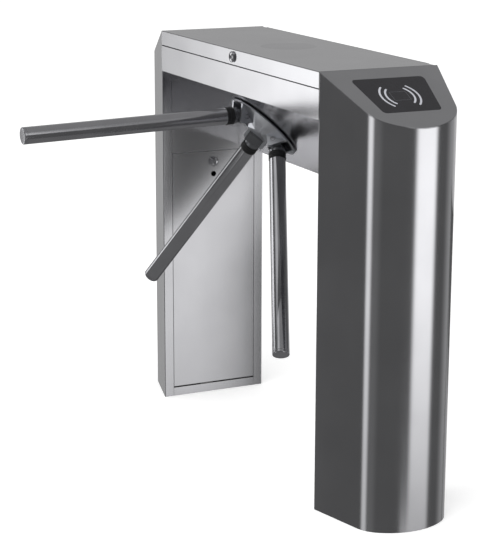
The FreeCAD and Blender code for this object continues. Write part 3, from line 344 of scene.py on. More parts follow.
# The same sheet as a disc, brushed across the lid's strokes, with its grey painted a little darker as painted
# shade: it shows as a slightly darker round.
DISC_SKIN_PAINTED_DARKER = BrushedSteel("brushed_stainless_disc_painted_shade", dark="#b9b9bd", light="#c1c1c5", grain=Grain.ACROSS)
# Drawn and polished stainless tube: long bright and dark bands, like a dull mirror.
TUBE_STEEL = PolishedTube("polished_stainless_tube")
# Stainless bar, turned on a lathe: a close, slightly soft gloss.
TURNED_STEEL = GrainyMetal("turned_stainless", dark="#bebec2", light="#c8c8cc", roughness=0.2, depth_mm=0.001)
# Cast aluminium, blasted with fine beads: pale and even, with wide soft highlights.
CAST_HUB = GrainyMetal("blasted_cast_aluminium", dark="#c6c8cd", light="#d0d2d7", roughness=0.33)
# Steel arm block with its grey painted darker than the hub, as painted shade from the narrow gaps between the
# cheeks: a dull shine.
ARM_BLOCK_SHADED = GrainyMetal("arm_block_painted_shade", dark="#8d8e92", light="#9a9b9f", roughness=0.26)
# Steel sheet, electroplated with zinc: dull grey, with faint patches.
ZINC_PLATE = GrainyMetal("zinc_plated_steel", dark="#a6a8ab", light="#b9bbbe", roughness=0.42, grain_mm=2.5)
# Steel plate, dipped in molten zinc: matt grey, with a cloudy spangle.
GALVANISED = GrainyMetal("galvanised_steel", dark="#9da0a4", light="#b9bcc0", roughness=0.48, grain_mm=6.0)
# Steel, milled or turned to size: a clean, fairly sharp shine.
MACHINED = GrainyMetal("machined_steel", dark="#b4b5b9", light="#c2c3c7", roughness=0.25, depth_mm=0.001)
# Gear steel, hobbed and oiled: darker, with a soft shine on the teeth.
HOBBED = GrainyMetal("hobbed_gear_steel", dark="#97989c", light="#a7a8ac", roughness=0.33, depth_mm=0.002)
# Hardened bearing steel, ground: almost a mirror.
BEARING_STEEL = GrainyMetal("ground_bearing_steel", dark="#bebfc2", light="#c9cacd", roughness=0.14,
                            depth_mm=0.0005)
# Zinc die casting under chrome plate: a clear mirror of bright and dark.
CHROME = GrainyMetal("chrome_plated_zinc", dark="#cfcfd3", light="#d6d6da", roughness=0.06, depth_mm=0.0002)
# Spring wire, drawn and tempered: dark grey with a dull shine.
SPRING_WIRE = GrainyMetal("drawn_spring_wire", dark="#8c8d90", light="#9d9ea1", roughness=0.3, grain_mm=0.5)
# Pressed aluminium sheet: pale, even and half matt.
SUPPLY_CASE = GrainyMetal("pressed_aluminium_case", dark="#a8aaad", light="#b7b9bc", roughness=0.4)
# Nitrile rubber, moulded: a deep, dull black.
COLLAR_RUBBER = Moulded("black_nitrile_rubber", dark="#121214", light="#19191b", roughness=0.55)
# Black acrylic sheet, cast between glass: a smooth dark gloss with clear reflections.
WINDOW_ACRYLIC = Moulded("black_acrylic", dark="#1d1c20", light="#201f23", roughness=0.16, depth_mm=0.002,
                         coat=0.3)
# Pale ink, screen-printed thick: flat, matt and almost white on the black.
SCREEN_INK = Moulded("pale_screen_ink", dark="#b9bac1", light="#c2c3ca", roughness=0.45, depth_mm=0.002)
# The same ink in hairlines that the print half covers: a dim grey.
THIN_INK = Moulded("grey_screen_ink", dark="#55555b", light="#5c5c62", roughness=0.45, depth_mm=0.002)
# Black ABS, moulded in a grained tool: a soft, dull sheen.
CASE_PLASTIC = Moulded("black_moulded_plastic", dark="#1b1b1d", light="#222225", roughness=0.5)
# Coil winding dipped in black lacquer: half glossy and slightly uneven.
COIL_LACQUER = Moulded("black_coil_lacquer", dark="#17181a", light="#202124", roughness=0.34, grain_mm=1.6)
# Etched board under solder mask: a green gloss over paler tracks.
BOARD = CircuitBoard("green_circuit_board")


class FaceFrame:
    """The rotor's frame on the sloping face: u along the bridge, v up the slope, n out of the face."""

    origin: ClassVar[Vector] = Vector((0.0, -60.1, 776.1))
    u: ClassVar[Vector] = Vector((1.0, 0.0, 0.0))
    v: ClassVar[Vector] = Vector((0.0, -math.sqrt(0.5), math.sqrt(0.5)))
    n: ClassVar[Vector] = Vector((0.0, -math.sqrt(0.5), -math.sqrt(0.5)))

    @classmethod
    def matrix(cls, azimuth: float = 0.0) -> Matrix:
        """The frame as a matrix.

        Args:
            azimuth: How far it is turned about n, in degrees.

        Returns:
            A matrix in millimetres.
        """
        turn = Matrix.Rotation(math.radians(azimuth), 4, "Z")
        base = Matrix.Translation(cls.origin) @ Matrix(
            [[cls.u[i], cls.v[i], cls.n[i], 0.0] for i in range(3)] + [[0.0, 0.0, 0.0, 1.0]])
        return base @ turn


def axis_matrix(start: Vector, way: Vector) -> Matrix:
    """A matrix whose Z runs along a line.

    Args:
        start: The line's first point.
        way: The line's direction.

    Returns:
        A matrix in millimetres.
    """
    turn = way.normalized().to_track_quat("Z", "Y").to_matrix().to_4x4()
    return Matrix.Translation(start) @ turn


class Workshop:
    """Makes meshes and sets finished pieces in place."""

    pieces: ClassVar[int] = 0

    @staticmethod
    def mesh_of(build: bmesh.types.BMesh, name: str, outward: bool = False) -> Mesh:
        """Closes a bmesh into a mesh.

        Args:
            build: The bmesh, which is freed.
            name: The mesh's name.
            outward: Whether its faces are first turned outwards.

        Returns:
            The mesh.
        """
        if outward:
            bmesh.ops.recalc_face_normals(build, faces=build.faces)
        mesh = bpy.data.meshes.new(name)
        build.to_mesh(mesh)
        build.free()
        return mesh

    @staticmethod
    def baked(obj: Object) -> Mesh:
        """Applies an object's modifiers.

        Args:
            obj: The object, which is removed.

        Returns:
            The result as a plain mesh.
        """
        bpy.context.view_layer.update()
        graph = bpy.context.evaluated_depsgraph_get()
        mesh = bpy.data.meshes.new_from_object(obj.evaluated_get(graph), depsgraph=graph)
        obj.modifiers.clear()
        bpy.data.objects.remove(obj)
        return mesh

    @classmethod
    def softened(cls, mesh: Mesh, edge_mm: float, angle: float = 28.0) -> Mesh:
        """Rounds a mesh's edges and weights its normals by face size.

        Args:
            mesh: The mesh to work on.
            edge_mm: Width of the rounding; 0 leaves the edges.
            angle: The least angle between faces that counts as an edge, in degrees.

        Returns:
            A new mesh.
        """
        obj = new_object("work", mesh)
        mesh.shade_smooth()
        if edge_mm > 0:
            bevel = obj.modifiers.new("edges", "BEVEL")
            bevel.width = edge_mm * MM
            bevel.segments = 2
            bevel.limit_method = "ANGLE"
            bevel.angle_limit = math.radians(angle)
            bevel.use_clamp_overlap = True
            bevel.miter_outer = "MITER_ARC"
        else:
            mesh.set_sharp_from_angle(angle=math.radians(angle))
        obj.modifiers.new("normals", "WEIGHTED_NORMAL").keep_sharp = True
        return cls.baked(obj)

    @classmethod
    def place(cls, name: str, mesh: Mesh, finish: Optional[Finish], body: str, slot: str,
              replaces: Sequence[str] = ()) -> Object:
        """Sets a finished piece in the scene.

        Args:
            name: The piece's name.
            mesh: Its mesh, in metres, in the object's frame.
            finish: Its finish; none where the mesh has its material.
            body: The CAD body that it moves with.
            slot: The record's material slot; not used.
            replaces: CAD nodes that it stands for.

        Returns:
            The piece.
        """
        mesh.name = name
        if finish is not None:
            mesh.materials.clear()
            mesh.materials.append(finish.material())
        obj = new_object(name, mesh)
        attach(obj, body)
        if replaces:
            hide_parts(*replaces)
        cls.pieces += 1
        LOG.info("%s: %d faces on %s", name, len(mesh.polygons), body)
        return obj

    @classmethod
    def refine(cls, node: str, body: str, slot: str, finish: Finish, edge_mm: float,
               angle: float = 28.0) -> Object:
        """Replaces a CAD node by a clean copy with rounded edges and a finish.

        Args:
            node: The CAD node.
            body: The CAD body that it moves with.
            slot: The record's material slot.
            finish: Its finish.
            edge_mm: Width of the rounding.
            angle: The least angle between faces that counts as an edge, in degrees.

        Returns:
            The piece.
        """
        build = bmesh.new()
        build.from_mesh(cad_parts[node].data)
        bmesh.ops.remove_doubles(build, verts=build.verts, dist=MERGE_MM * MM)
        bmesh.ops.dissolve_limit(build, angle_limit=math.radians(FLAT_DEG), verts=build.verts,
                                 edges=build.edges)
        mesh = cls.softened(cls.mesh_of(build, node), edge_mm, angle)
        return cls.place(node + "_finished", mesh, finish, body, slot, [node])

    @classmethod
    def refine_all(cls, body: str, rows: Iterable[tuple[Any, ...]]) -> None:
        """Refines several nodes of one body.

        Args:
            body: The CAD body that they move with.
            rows: For each its node, slot, finish and rounding, and its edge angle if not the usual.
        """
        for node, *rest in rows:
            cls.refine(node, body, *rest)

    @staticmethod
    def rounded_corners(points: Sequence[Point], radii: Sequence[float], steps: int = 5) -> list[Point]:
        """Rounds the corners of an open profile.

        Args:
            points: The profile's corners.
            radii: How far back from each corner the rounding starts; 0 keeps it sharp.
            steps: Steps round each corner.

        Returns:
            The profile with arcs in it.
        """
        out: list[Point] = []
        for i, (point, radius) in enumerate(zip(points, radii)):
            if radius <= 0 or i in (0, len(points) - 1):
                out.append(point)
                continue
            here, before, after = Vector(point), Vector(points[i - 1]), Vector(points[i + 1])
            first = here + (before - here).normalized() * radius
            last = here + (after - here).normalized() * radius
            for k in range(steps + 1):
                t = k / steps
                blend = first * (1 - t) ** 2 + here * 2 * t * (1 - t) + last * t ** 2
                out.append((blend.x, blend.y))
        return out

    @classmethod
    def lathe(cls, name: str, profile: Sequence[Point], place: Matrix, segments: int = 96) -> Mesh:
        """Turns a profile about the Z axis of place. Points on the axis close into poles.

        Args:
            name: The mesh's name.
            profile: Points (radius, height) in millimetres, from one end to the other.
            place: Where the axis lies, in millimetres.
            segments: Steps round the axis.

        Returns:
            A mesh with a UV map: turns round the axis, and metres along the profile.
        """
        build = bmesh.new()
        uv = build.loops.layers.uv.new("turned")
        turns = [2 * math.pi * k / segments for k in range(segments)]
        rings: list[list[bmesh.types.BMVert]] = []
        for radius, height in profile:
            around = turns[:1] if radius < 1e-6 else turns
            rings.append([build.verts.new(
                place @ Vector((radius * math.cos(a), radius * math.sin(a), height)) * MM) for a in around])
        if profile[0] == profile[-1]:
            for vert in rings[-1]:
                build.verts.remove(vert)
            rings[-1] = rings[0]
        run = 0.0
        for i in range(len(profile) - 1):
            low, high = rings[i], rings[i + 1]
            step = math.dist(profile[i], profile[i + 1]) * MM
            for k in range(segments):
                m = (k + 1) % segments
                corners = [low[k % len(low)], low[m % len(low)], high[m % len(high)], high[k % len(high)]]
                unique = list(dict.fromkeys(corners))
                if len(unique) < 3:
                    continue
                spots = ((k, run), (k + 1, run), (k + 1, run + step), (k, run + step))
                for loop in build.faces.new(unique).loops:
                    turned, along = spots[corners.index(loop.vert)]
                    loop[uv].uv = (turned / segments, along)
            run += step
        return cls.softened(cls.mesh_of(build, name, outward=True), 0.0, TURNED_DEG)

    @classmethod
    def lock(cls, nodes: str, facing: Vector, body: str, cam_body: str) -> None:
        """Refines a lock, and sets a domed ring on the front of its barrel, round the key plug.

        Args:
            nodes: The name of its CAD nodes, with %s for barrel or cam.
            facing: The way that its front looks.
            body: The body that the barrel moves with.
            cam_body: The body that the cam moves with.
        """
        node, slot = nodes % "barrel", "lock_chrome"
        cls.refine(node, body, slot, CHROME, 0.0)
        cls.refine(nodes % "cam", cam_body, slot, CHROME, 0.25)
        plug_r, lip, dome_height, sunk, steps = 5.2, 2.6, 3.2, -0.05, 12
        spots = [vert.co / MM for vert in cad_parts[node].data.vertices]
        low = Vector([min(spot[i] for spot in spots) for i in range(3)])
        high = Vector([max(spot[i] for spot in spots) for i in range(3)])
        size = high - low
        front = (low + high) / 2 + facing * (abs(size.dot(facing)) / 2)
        rim = max(size) / 2
        dome = [(plug_r + (rim - plug_r) * k / steps, dome_height * math.cos(math.pi / 2 * k / steps) ** 0.7)
                for k in range(1, steps)]
        ring = [(plug_r, sunk), (plug_r, lip)] + dome + [(rim, sunk), (plug_r, sunk)]
        mesh = cls.lathe("lock_face", ring, axis_matrix(front, facing), 64)
        cls.place(node + "_face", mesh, CHROME, body, slot)

    @classmethod
    def prism(cls, name: str, outline: Sequence[Point], lift: Lift, low: float, high: float) -> Mesh:
        """Raises a closed outline between two levels.

        Args:
            name: The mesh's name.
            outline: The outline's points.
            lift: Places (x, y, level) in millimetres.
            low: The lower level.
            high: The upper level.

        Returns:
            A closed mesh in metres.
        """
        build = bmesh.new()
        bottom, top = ([build.verts.new(lift(x, y, level) * MM) for x, y in outline] for level in (low, high))
        build.faces.new(bottom)
        build.faces.new(list(reversed(top)))
        for i in range(len(outline)):
            j = (i + 1) % len(outline)
            build.faces.new([bottom[i], bottom[j], top[j], top[i]])
        return cls.mesh_of(build, name, outward=True)

    @classmethod
    def joined(cls, name: str, meshes: Iterable[Mesh]) -> Mesh:
        """Puts several meshes into one.

        Args:
            name: The new mesh's name.
            meshes: The meshes.

        Returns:
            The new mesh.
        """
        build = bmesh.new()
        for mesh in meshes:
            build.from_mesh(mesh)
        return cls.mesh_of(build, name)


class Pattern:
    """A geometry node tree with named inputs, run once into a plain mesh."""

    def __init__(self, name: str, sizes: Mapping[str, float]) -> None:
        """Starts a tree.

        Args:
            name: The tree's name.
            sizes: Named inputs, in metres, with their values.
        """
        self.tree = bpy.data.node_groups.new(name, "GeometryNodeTree")
        sockets = self.tree.interface
        sockets.new_socket("Geometry", in_out="INPUT", socket_type="NodeSocketGeometry")
        self.values: dict[str, Any] = {}
        for key, value in sizes.items():
            made = sockets.new_socket(key, in_out="INPUT", socket_type="NodeSocketFloat")
            self.values[made.identifier] = value
        self.turn_key = sockets.new_socket("Turn", in_out="INPUT", socket_type="NodeSocketVector").identifier
        sockets.new_socket("Geometry", in_out="OUTPUT", socket_type="NodeSocketGeometry")
        self.entry = add_node(self.tree, "NodeGroupInput")

    def size(self, key: str) -> Source:
        """The socket of a named input."""
        return self.entry.outputs[key]

    def close(self, shape: Source, finish: Finish) -> None:
        """Ends the tree: shape on every point, as real geometry with its material.

        Args:
            shape: The geometry of one copy.
            finish: The copies' finish.
        """
        spots = add_node(self.tree, "GeometryNodeMeshToPoints", {"Mesh": self.size("Geometry")})
        turned = add_node(self.tree, "FunctionNodeEulerToRotation", {"Euler": self.size("Turn")})
        copies = add_node(self.tree, "GeometryNodeInstanceOnPoints", {
            "Points": spots, "Instance": shape, "Rotation": turned})
        real = add_node(self.tree, "GeometryNodeRealizeInstances", {"Geometry": copies})
        dressed = add_node(self.tree, "GeometryNodeSetMaterial", {
            "Geometry": real, "Material": finish.material()})
        add_node(self.tree, "NodeGroupOutput", {"Geometry": dressed})

    def run(self, points: Sequence[Vector], turn: Sequence[float] = (0.0, 0.0, 0.0)) -> Mesh:
        """Runs the tree on a set of points.

        Args:
            points: Where the copies stand, in metres.
            turn: Euler angles of each copy, in radians.

        Returns:
            The result as a plain mesh.
        """
        seed = bpy.data.meshes.new("points")
        seed.from_pydata([tuple(point) for point in points], [], [])
        host = new_object("points", seed)
        modifier = host.modifiers.new("pattern", "NODES")
        modifier.node_group = self.tree
        for key, value in self.values.items():
            modifier[key] = value
        modifier[self.turn_key] = tuple(turn)
        mesh = Workshop.baked(host)
        mesh.shade_smooth()
        mesh.set_sharp_from_angle(angle=math.radians(STUD_DEG))
        return mesh


class Studs(Pattern):
    """Plain round studs that stand on the points, such as rivets and capacitors."""

    more_sizes: ClassVar[Mapping[str, float]] = {}

    def __init__(self, name: str, radius_mm: float, height_mm: float, finish: Finish) -> None:
        """Builds one stud.

        Args:
            name: The tree's name.
            radius_mm: Radius of the stud.
            height_mm: Height of the stud.
            finish: The studs' finish.
        """
        super().__init__(name, {"Radius": radius_mm * MM, "Height": height_mm * MM, **self.more_sizes})
        body = add_node(self.tree, "GeometryNodeMeshCylinder", {
            "Vertices": 24, "Radius": self.size("Radius"), "Depth": self.size("Height")})
        lift = add_node(self.tree, "ShaderNodeMath", {0: self.size("Height"), 1: 0.5}, operation="MULTIPLY")
        rise = add_node(self.tree, "ShaderNodeCombineXYZ", {"Z": lift})
        seated = add_node(self.tree, "GeometryNodeTransform", {
            "Geometry": self.shaped(body), "Translation": rise})
        self.close(seated, finish)

    def shaped(self, body: Node) -> Node:
        """The stud, from its round body."""
        return body


class SocketScrews(Studs):
    """Cap screws seen from their head, which has a round socket."""

    more_sizes: ClassVar[Mapping[str, float]] = {"Socket Share": 0.55}

    def shaped(self, body: Node) -> Node:
        """Sinks the socket into the head.

        Args:
            body: The head's round body.

        Returns:
            The head.
        """
        rim = add_node(self.tree, "GeometryNodeExtrudeMesh", {
            "Mesh": body, "Selection": body.outputs["Top"], "Offset Scale": 0.0}, mode="FACES")
        drawn = add_node(self.tree, "GeometryNodeScaleElements", {
            "Geometry": rim, "Selection": rim.outputs["Top"], "Scale": self.size("Socket Share")})
        depth = add_node(self.tree, "ShaderNodeMath", {0: self.size("Height"), 1: -0.6}, operation="MULTIPLY")
        return add_node(self.tree, "GeometryNodeExtrudeMesh", {
            "Mesh": drawn, "Selection": rim.outputs["Top"], "Offset Scale": depth}, mode="FACES")


class CoilSpring(Pattern):
    """An extension spring: close coils of round wire along the points' Z axis."""

    def __init__(self, turns: int, radius_mm: float, length_mm: float, wire_mm: float,
                 finish: Finish) -> None:
        """Builds the coil.

        Args:
            turns: Turns of wire.
            radius_mm: Radius to the middle of the wire.
            length_mm: Length of the coil.
            wire_mm: Radius of the wire.
            finish: The wire's finish.
        """
        super().__init__("coil_spring", {"Turns": float(turns), "Radius": radius_mm * MM,
                                         "Length": length_mm * MM, "Wire": wire_mm * MM})
        helix = add_node(self.tree, "GeometryNodeCurveSpiral", {
            "Resolution": 24, "Rotations": self.size("Turns"), "Start Radius": self.size("Radius"),
            "End Radius": self.size("Radius"), "Height": self.size("Length")})
        ring = add_node(self.tree, "GeometryNodeCurvePrimitiveCircle", {
            "Resolution": 10, "Radius": self.size("Wire")})
        wire = add_node(self.tree, "GeometryNodeCurveToMesh", {
            "Curve": helix, "Profile Curve": ring, "Fill Caps": True})
        self.close(wire, finish)


@dataclass
class Leg:
    """One leg's bent skin, cut slanting under its cap, and the frame behind it."""

    side: int
    inner_x: float = 430.0
    half_width: float = 140.0
    depth: float = 199.0
    taper: float = 14.1
    nose_r: float = 137.0
    corner_r: float = 72.0
    sheet: float = 1.5
    strip: float = 25.0
    height: float = 956.0
    slope: float = 0.48
    cap: float = 2.0
    bend_r: float = 2.5
    corner_steps: int = 28
    nose_steps: int = 24
    edge: float = 0.25
    edge_angle: float = 40.0

    @property
    def name(self) -> str:
        """Near or far."""
        return "near" if self.side > 0 else "far"

    def outline(self, inset: float) -> list[Point]:
        """The plan from the front foot round the nose to the back foot.

        Args:
            inset: How far it is moved in.

        Returns:
            The plan's points.
        """
        turn = math.radians(self.taper)
        outward = Vector((math.sin(turn), -math.cos(turn)))
        forward = Vector((math.cos(turn), math.sin(turn)))
        nose = Vector((self.inner_x + self.depth - self.nose_r, 0.0))
        start = Vector((self.inner_x, -self.half_width)) - outward * self.corner_r - nose
        half = start.dot(forward)
        reach = -half + math.sqrt(half ** 2 - start.dot(start) + (self.nose_r - self.corner_r) ** 2)
        corner = nose + start + forward * reach
        to_nose = (corner - nose).normalized()
        first, last = math.atan2(outward.y, outward.x), math.atan2(to_nose.y, to_nose.x)
        front = [Vector((self.inner_x, -self.half_width + inset / math.cos(turn)))]
        bow, arc = self.corner_steps, self.nose_steps
        front += [corner + Vector((math.cos(a), math.sin(a))) * (self.corner_r - inset)
                  for a in (first + (last - first) * k / bow for k in range(bow + 1))]
        front += [nose + Vector((math.cos(a), math.sin(a))) * (self.nose_r - inset)
                  for a in (last * (1 - k / arc) for k in range(1, arc + 1))]
        return [(p.x, p.y) for p in front] + [(p.x, -p.y) for p in reversed(front[:-1])]

    def section(self) -> list[Point]:
        """The skin's closed cross-section, with its two folded strips.

        Returns:
            The section's points, round the outside and back along the inside.
        """
        outer = self.outline(0.0)
        inner = self.outline(self.sheet)
        edge = self.half_width - self.strip
        turn = math.radians(self.taper)
        foot = Vector(outer[0])
        beside = foot + Vector((math.cos(turn), math.sin(turn))) * (self.bend_r * 3)
        corner = Workshop.rounded_corners(
            [(self.inner_x, -edge), outer[0], (beside.x, beside.y)], [0, self.bend_r, 0], 6)[:-1]
        inside = self.inner_x + self.sheet
        inner_corner = (inside, inner[0][1] + self.sheet * math.tan(turn))
        loop = corner + outer[1:-1] + [(x, -y) for x, y in reversed(corner)]
        back = [(inside, edge), (inside, -inner_corner[1])]
        return loop + back + list(reversed(inner[1:-1])) + [inner_corner, (inside, -edge)]

    def lifted(self, x: float, y: float, level: float) -> Vector:
        """A point of the skin.

        Args:
            x: Where it lies along the turnstile, counted from the middle.
            y: Where it lies across.
            level: 0 for the floor, or 1 for the slanting top.

        Returns:
            The point in millimetres.
        """
        top = self.height - self.cap - self.slope * (x - self.inner_x)
        return Vector((self.side * x, y, top if level > 0 else 0.0))

    def build(self) -> None:
        """Builds the skin and refines what stands behind it."""
        skin = Workshop.prism("skin", self.section(), self.lifted, 0.0, 1.0)
        mesh = Workshop.softened(skin, self.edge, self.edge_angle)
        node = "leg_skin_" + self.name
        Workshop.place(node + "_finished", mesh, SKIN, "cabinet", "cabinet_skin", [node])
        Workshop.refine("leg_frame_" + self.name, "cabinet", "frame_steel", ZINC_PLATE, 0.3)


@dataclass
class Cabinet:
    """Both legs with their panels, caps, base plates and readers."""

    mark_centre: float = 105.5
    mark_across: float = -2.5
    ink: float = 0.12
    wave_radii: tuple[float, float] = (38.0, 50.0)
    wave_shift: float = 7.0
    wave_width: float = 4.2
    wave_spread: float = 43.0
    wave_steps: int = 20
    card_up: float = 16.0
    card_down: float = 15.0
    card_half: float = 19.0
    card_line: float = 0.8

    def build(self) -> None:
        """Builds both legs and what they share."""
        for side in (1, -1):
            Leg(side).build()
        Workshop.refine_all("cabinet", (
            ("upper_panels", "cabinet_panel", SKIN, 0.25), ("kick_strips", "cabinet_panel", SKIN, 0.25),
            ("leg_caps", "lid_sheet", CAP_SKIN, 0.5), ("base_plates", "base_steel", GALVANISED, 0.5),
            ("reader_windows", "reader_glass", WINDOW_ACRYLIC, 0.3),
            ("reader_modules", "module_case", CASE_PLASTIC, 1.5)))
        self.build_marks()

    def on_cap(self, side: int, down: float, across: float, level: float) -> Vector:
        """A point on one cap.

        Args:
            side: 1 for the near cap, -1 for the far one.
            down: How far down the slope it lies.
            across: How far across.
            level: How high above the window.

        Returns:
            The point in millimetres.
        """
        tilt = math.atan(Leg.slope)
        x = Leg.inner_x + down * math.cos(tilt) + level * math.sin(tilt)
        z = Leg.height - down * math.sin(tilt) + level * math.cos(tilt)
        return Vector((side * x, across, z))

    def wave(self, radius: float, hand: int) -> list[Point]:
        """One wave of the sign, as a band with round ends.

        Args:
            radius: The radius of the band's middle line.
            hand: 1 or -1, the side of the sign that it is on.

        Returns:
            The band's outline.
        """
        spread, half, steps = math.radians(self.wave_spread), self.wave_width / 2, self.wave_steps
        angles = [-spread + 2 * spread * k / steps for k in range(steps + 1)]
        bends = [math.pi * k / 6 for k in range(1, 6)]
        polar = [(radius + half, a) for a in angles]
        polar += [(radius + half * math.cos(b), spread + half * math.sin(b) / radius) for b in bends]
        polar += [(radius - half, a) for a in reversed(angles)]
        polar += [(radius - half * math.cos(b), -spread - half * math.sin(b) / radius) for b in bends]
        return [(self.mark_centre + r * math.sin(a),
                 hand * (r * math.cos(a) - self.wave_shift) + self.mark_across) for r, a in polar]

    def card(self) -> list[list[Point]]:
        """The card's outline as four thin bars.

        Returns:
            The outline of each bar.
        """
        top, foot, line = self.mark_centre - self.card_up, self.mark_centre + self.card_down, self.card_line
        left, right = self.mark_across - self.card_half, self.mark_across + self.card_half
        bars = ((top, top + line, left, right), (foot - line, foot, left, right),
                (top, foot, left, left + line), (top, foot, right - line, right))
        return [[(d0, a0), (d1, a0), (d1, a1), (d0, a1)] for d0, d1, a0, a1 in bars]

    def build_marks(self) -> None:
        """Prints the generic card-and-waves sign on both windows."""
        waves, cards = [], []
        for side in (1, -1):
            lift = partial(self.on_cap, side)
            waves += [Workshop.prism("wave", self.wave(radius, hand), lift, 0.0, self.ink)
                      for hand in (1, -1) for radius in self.wave_radii]
            cards += [Workshop.prism("card", bar, lift, 0.0, self.ink) for bar in self.card()]
        for name, prints, ink in (("wave", waves, SCREEN_INK), ("card", cards, THIN_INK)):
            mesh = Workshop.joined(name, prints)
            Workshop.place("reader_%s_marks" % name, mesh, ink, "cabinet", "reader_glass")


@dataclass
class Doors:
    """The two access doors with their locks, and the rods that they tilt on."""

    sheet_edge: float = 0.25
    rod_edge: float = 0.2

    def build(self) -> None:
        """Refines each door and its lock."""
        for side, out in (("near", -1.0), ("far", 1.0)):
            body = side + "_door"
            Workshop.refine("door_" + side, body, "cabinet_panel", SKIN, self.sheet_edge)
            Workshop.lock("door_lock_%s_" + side, Vector((out, 0.0, 0.0)), body, body + "_lock")
        Workshop.refine("hinge_pins", "cabinet", "machine_steel", MACHINED, self.rod_edge)


@dataclass
class Bridge:
    """The folded trough, its lid, the lid's hinge and lock, and the face screws."""

    hinge_y: float = 136.0
    hinge_z: float = 952.0
    rivet_row: float = 22.0
    rivet_pitch: float = 90.0
    rivets: int = 9
    rivet_r: float = 3.2
    rivet_height: float = 1.0
    leaf: float = 1.5
    steel_edge: float = 0.2

    def build(self) -> None:
        """Refines the sheet metal and adds the rivets of the hinge."""
        Workshop.refine("bridge_chassis", "cabinet", "cabinet_skin", BRIDGE_SKIN, 0.4)
        Workshop.refine("lid", "bridge_lid", "lid_sheet", BRIDGE_SKIN, 0.3)
        # The disc's grey is painted darker than the lid's, as painted shade.
        Workshop.refine("lid_disc", "bridge_lid", "lid_disc", DISC_SKIN_PAINTED_DARKER, 0.25)
        Workshop.refine("lid_hinge_base", "cabinet", "machine_steel", MACHINED, self.steel_edge)
        Workshop.refine("lid_hinge_leaf", "bridge_lid", "machine_steel", MACHINED, self.steel_edge)
        Workshop.lock("lid_lock_%s", Vector((0.0, -1.0, 0.0)), "bridge_lid", "lid_lock")
        Workshop.refine("face_screws", "cabinet", "screw_steel", MACHINED, self.steel_edge)
        self.build_rivets()

    def build_rivets(self) -> None:
        """Rivets on both leaves of the lid's hinge."""
        rivets = Studs("hinge_rivets", self.rivet_r, self.rivet_height, MACHINED)
        inward = Leg.sheet + self.leaf
        leaves = (("fixed", "cabinet", Leg.half_width - inward, self.hinge_z - self.rivet_row, 90),
                  ("moving", "bridge_lid", self.hinge_y - self.rivet_row, Leg.height - inward, 180))
        for name, body, y, z, turn in leaves:
            row = [self.rivet_pitch * (k - self.rivets // 2) for k in range(self.rivets)]
            mesh = rivets.run([Vector((x, y, z)) * MM for x in row], (math.radians(turn), 0.0, 0.0))
            Workshop.place("hinge_rivets_" + name, mesh, None, body, "machine_steel")


@dataclass
class Rotor:
    """The cast hub with its pins, shaft, gear and lock wheel."""

    cast_edge: float = 1.2
    cast_angle: float = 24.0
    shaft_edge: float = 0.4
    tooth_edge: float = 0.2
    wheel_edge: float = 0.3

    def build(self) -> None:
        """Refines the hub with soft cast edges, and the steel behind the face."""
        Workshop.refine_all("rotor", (
            ("hub", "hub_cast", CAST_HUB, self.cast_edge, self.cast_angle),
            ("arm_pins", "machine_steel", MACHINED, 0.0),
            ("main_shaft", "machine_steel", MACHINED, self.shaft_edge),
            ("shaft_nut", "machine_steel", MACHINED, self.shaft_edge),
            ("drive_gear", "gear_steel", HOBBED, self.tooth_edge, TURNED_DEG),
            ("lock_wheel", "gear_steel", HOBBED, self.wheel_edge)))


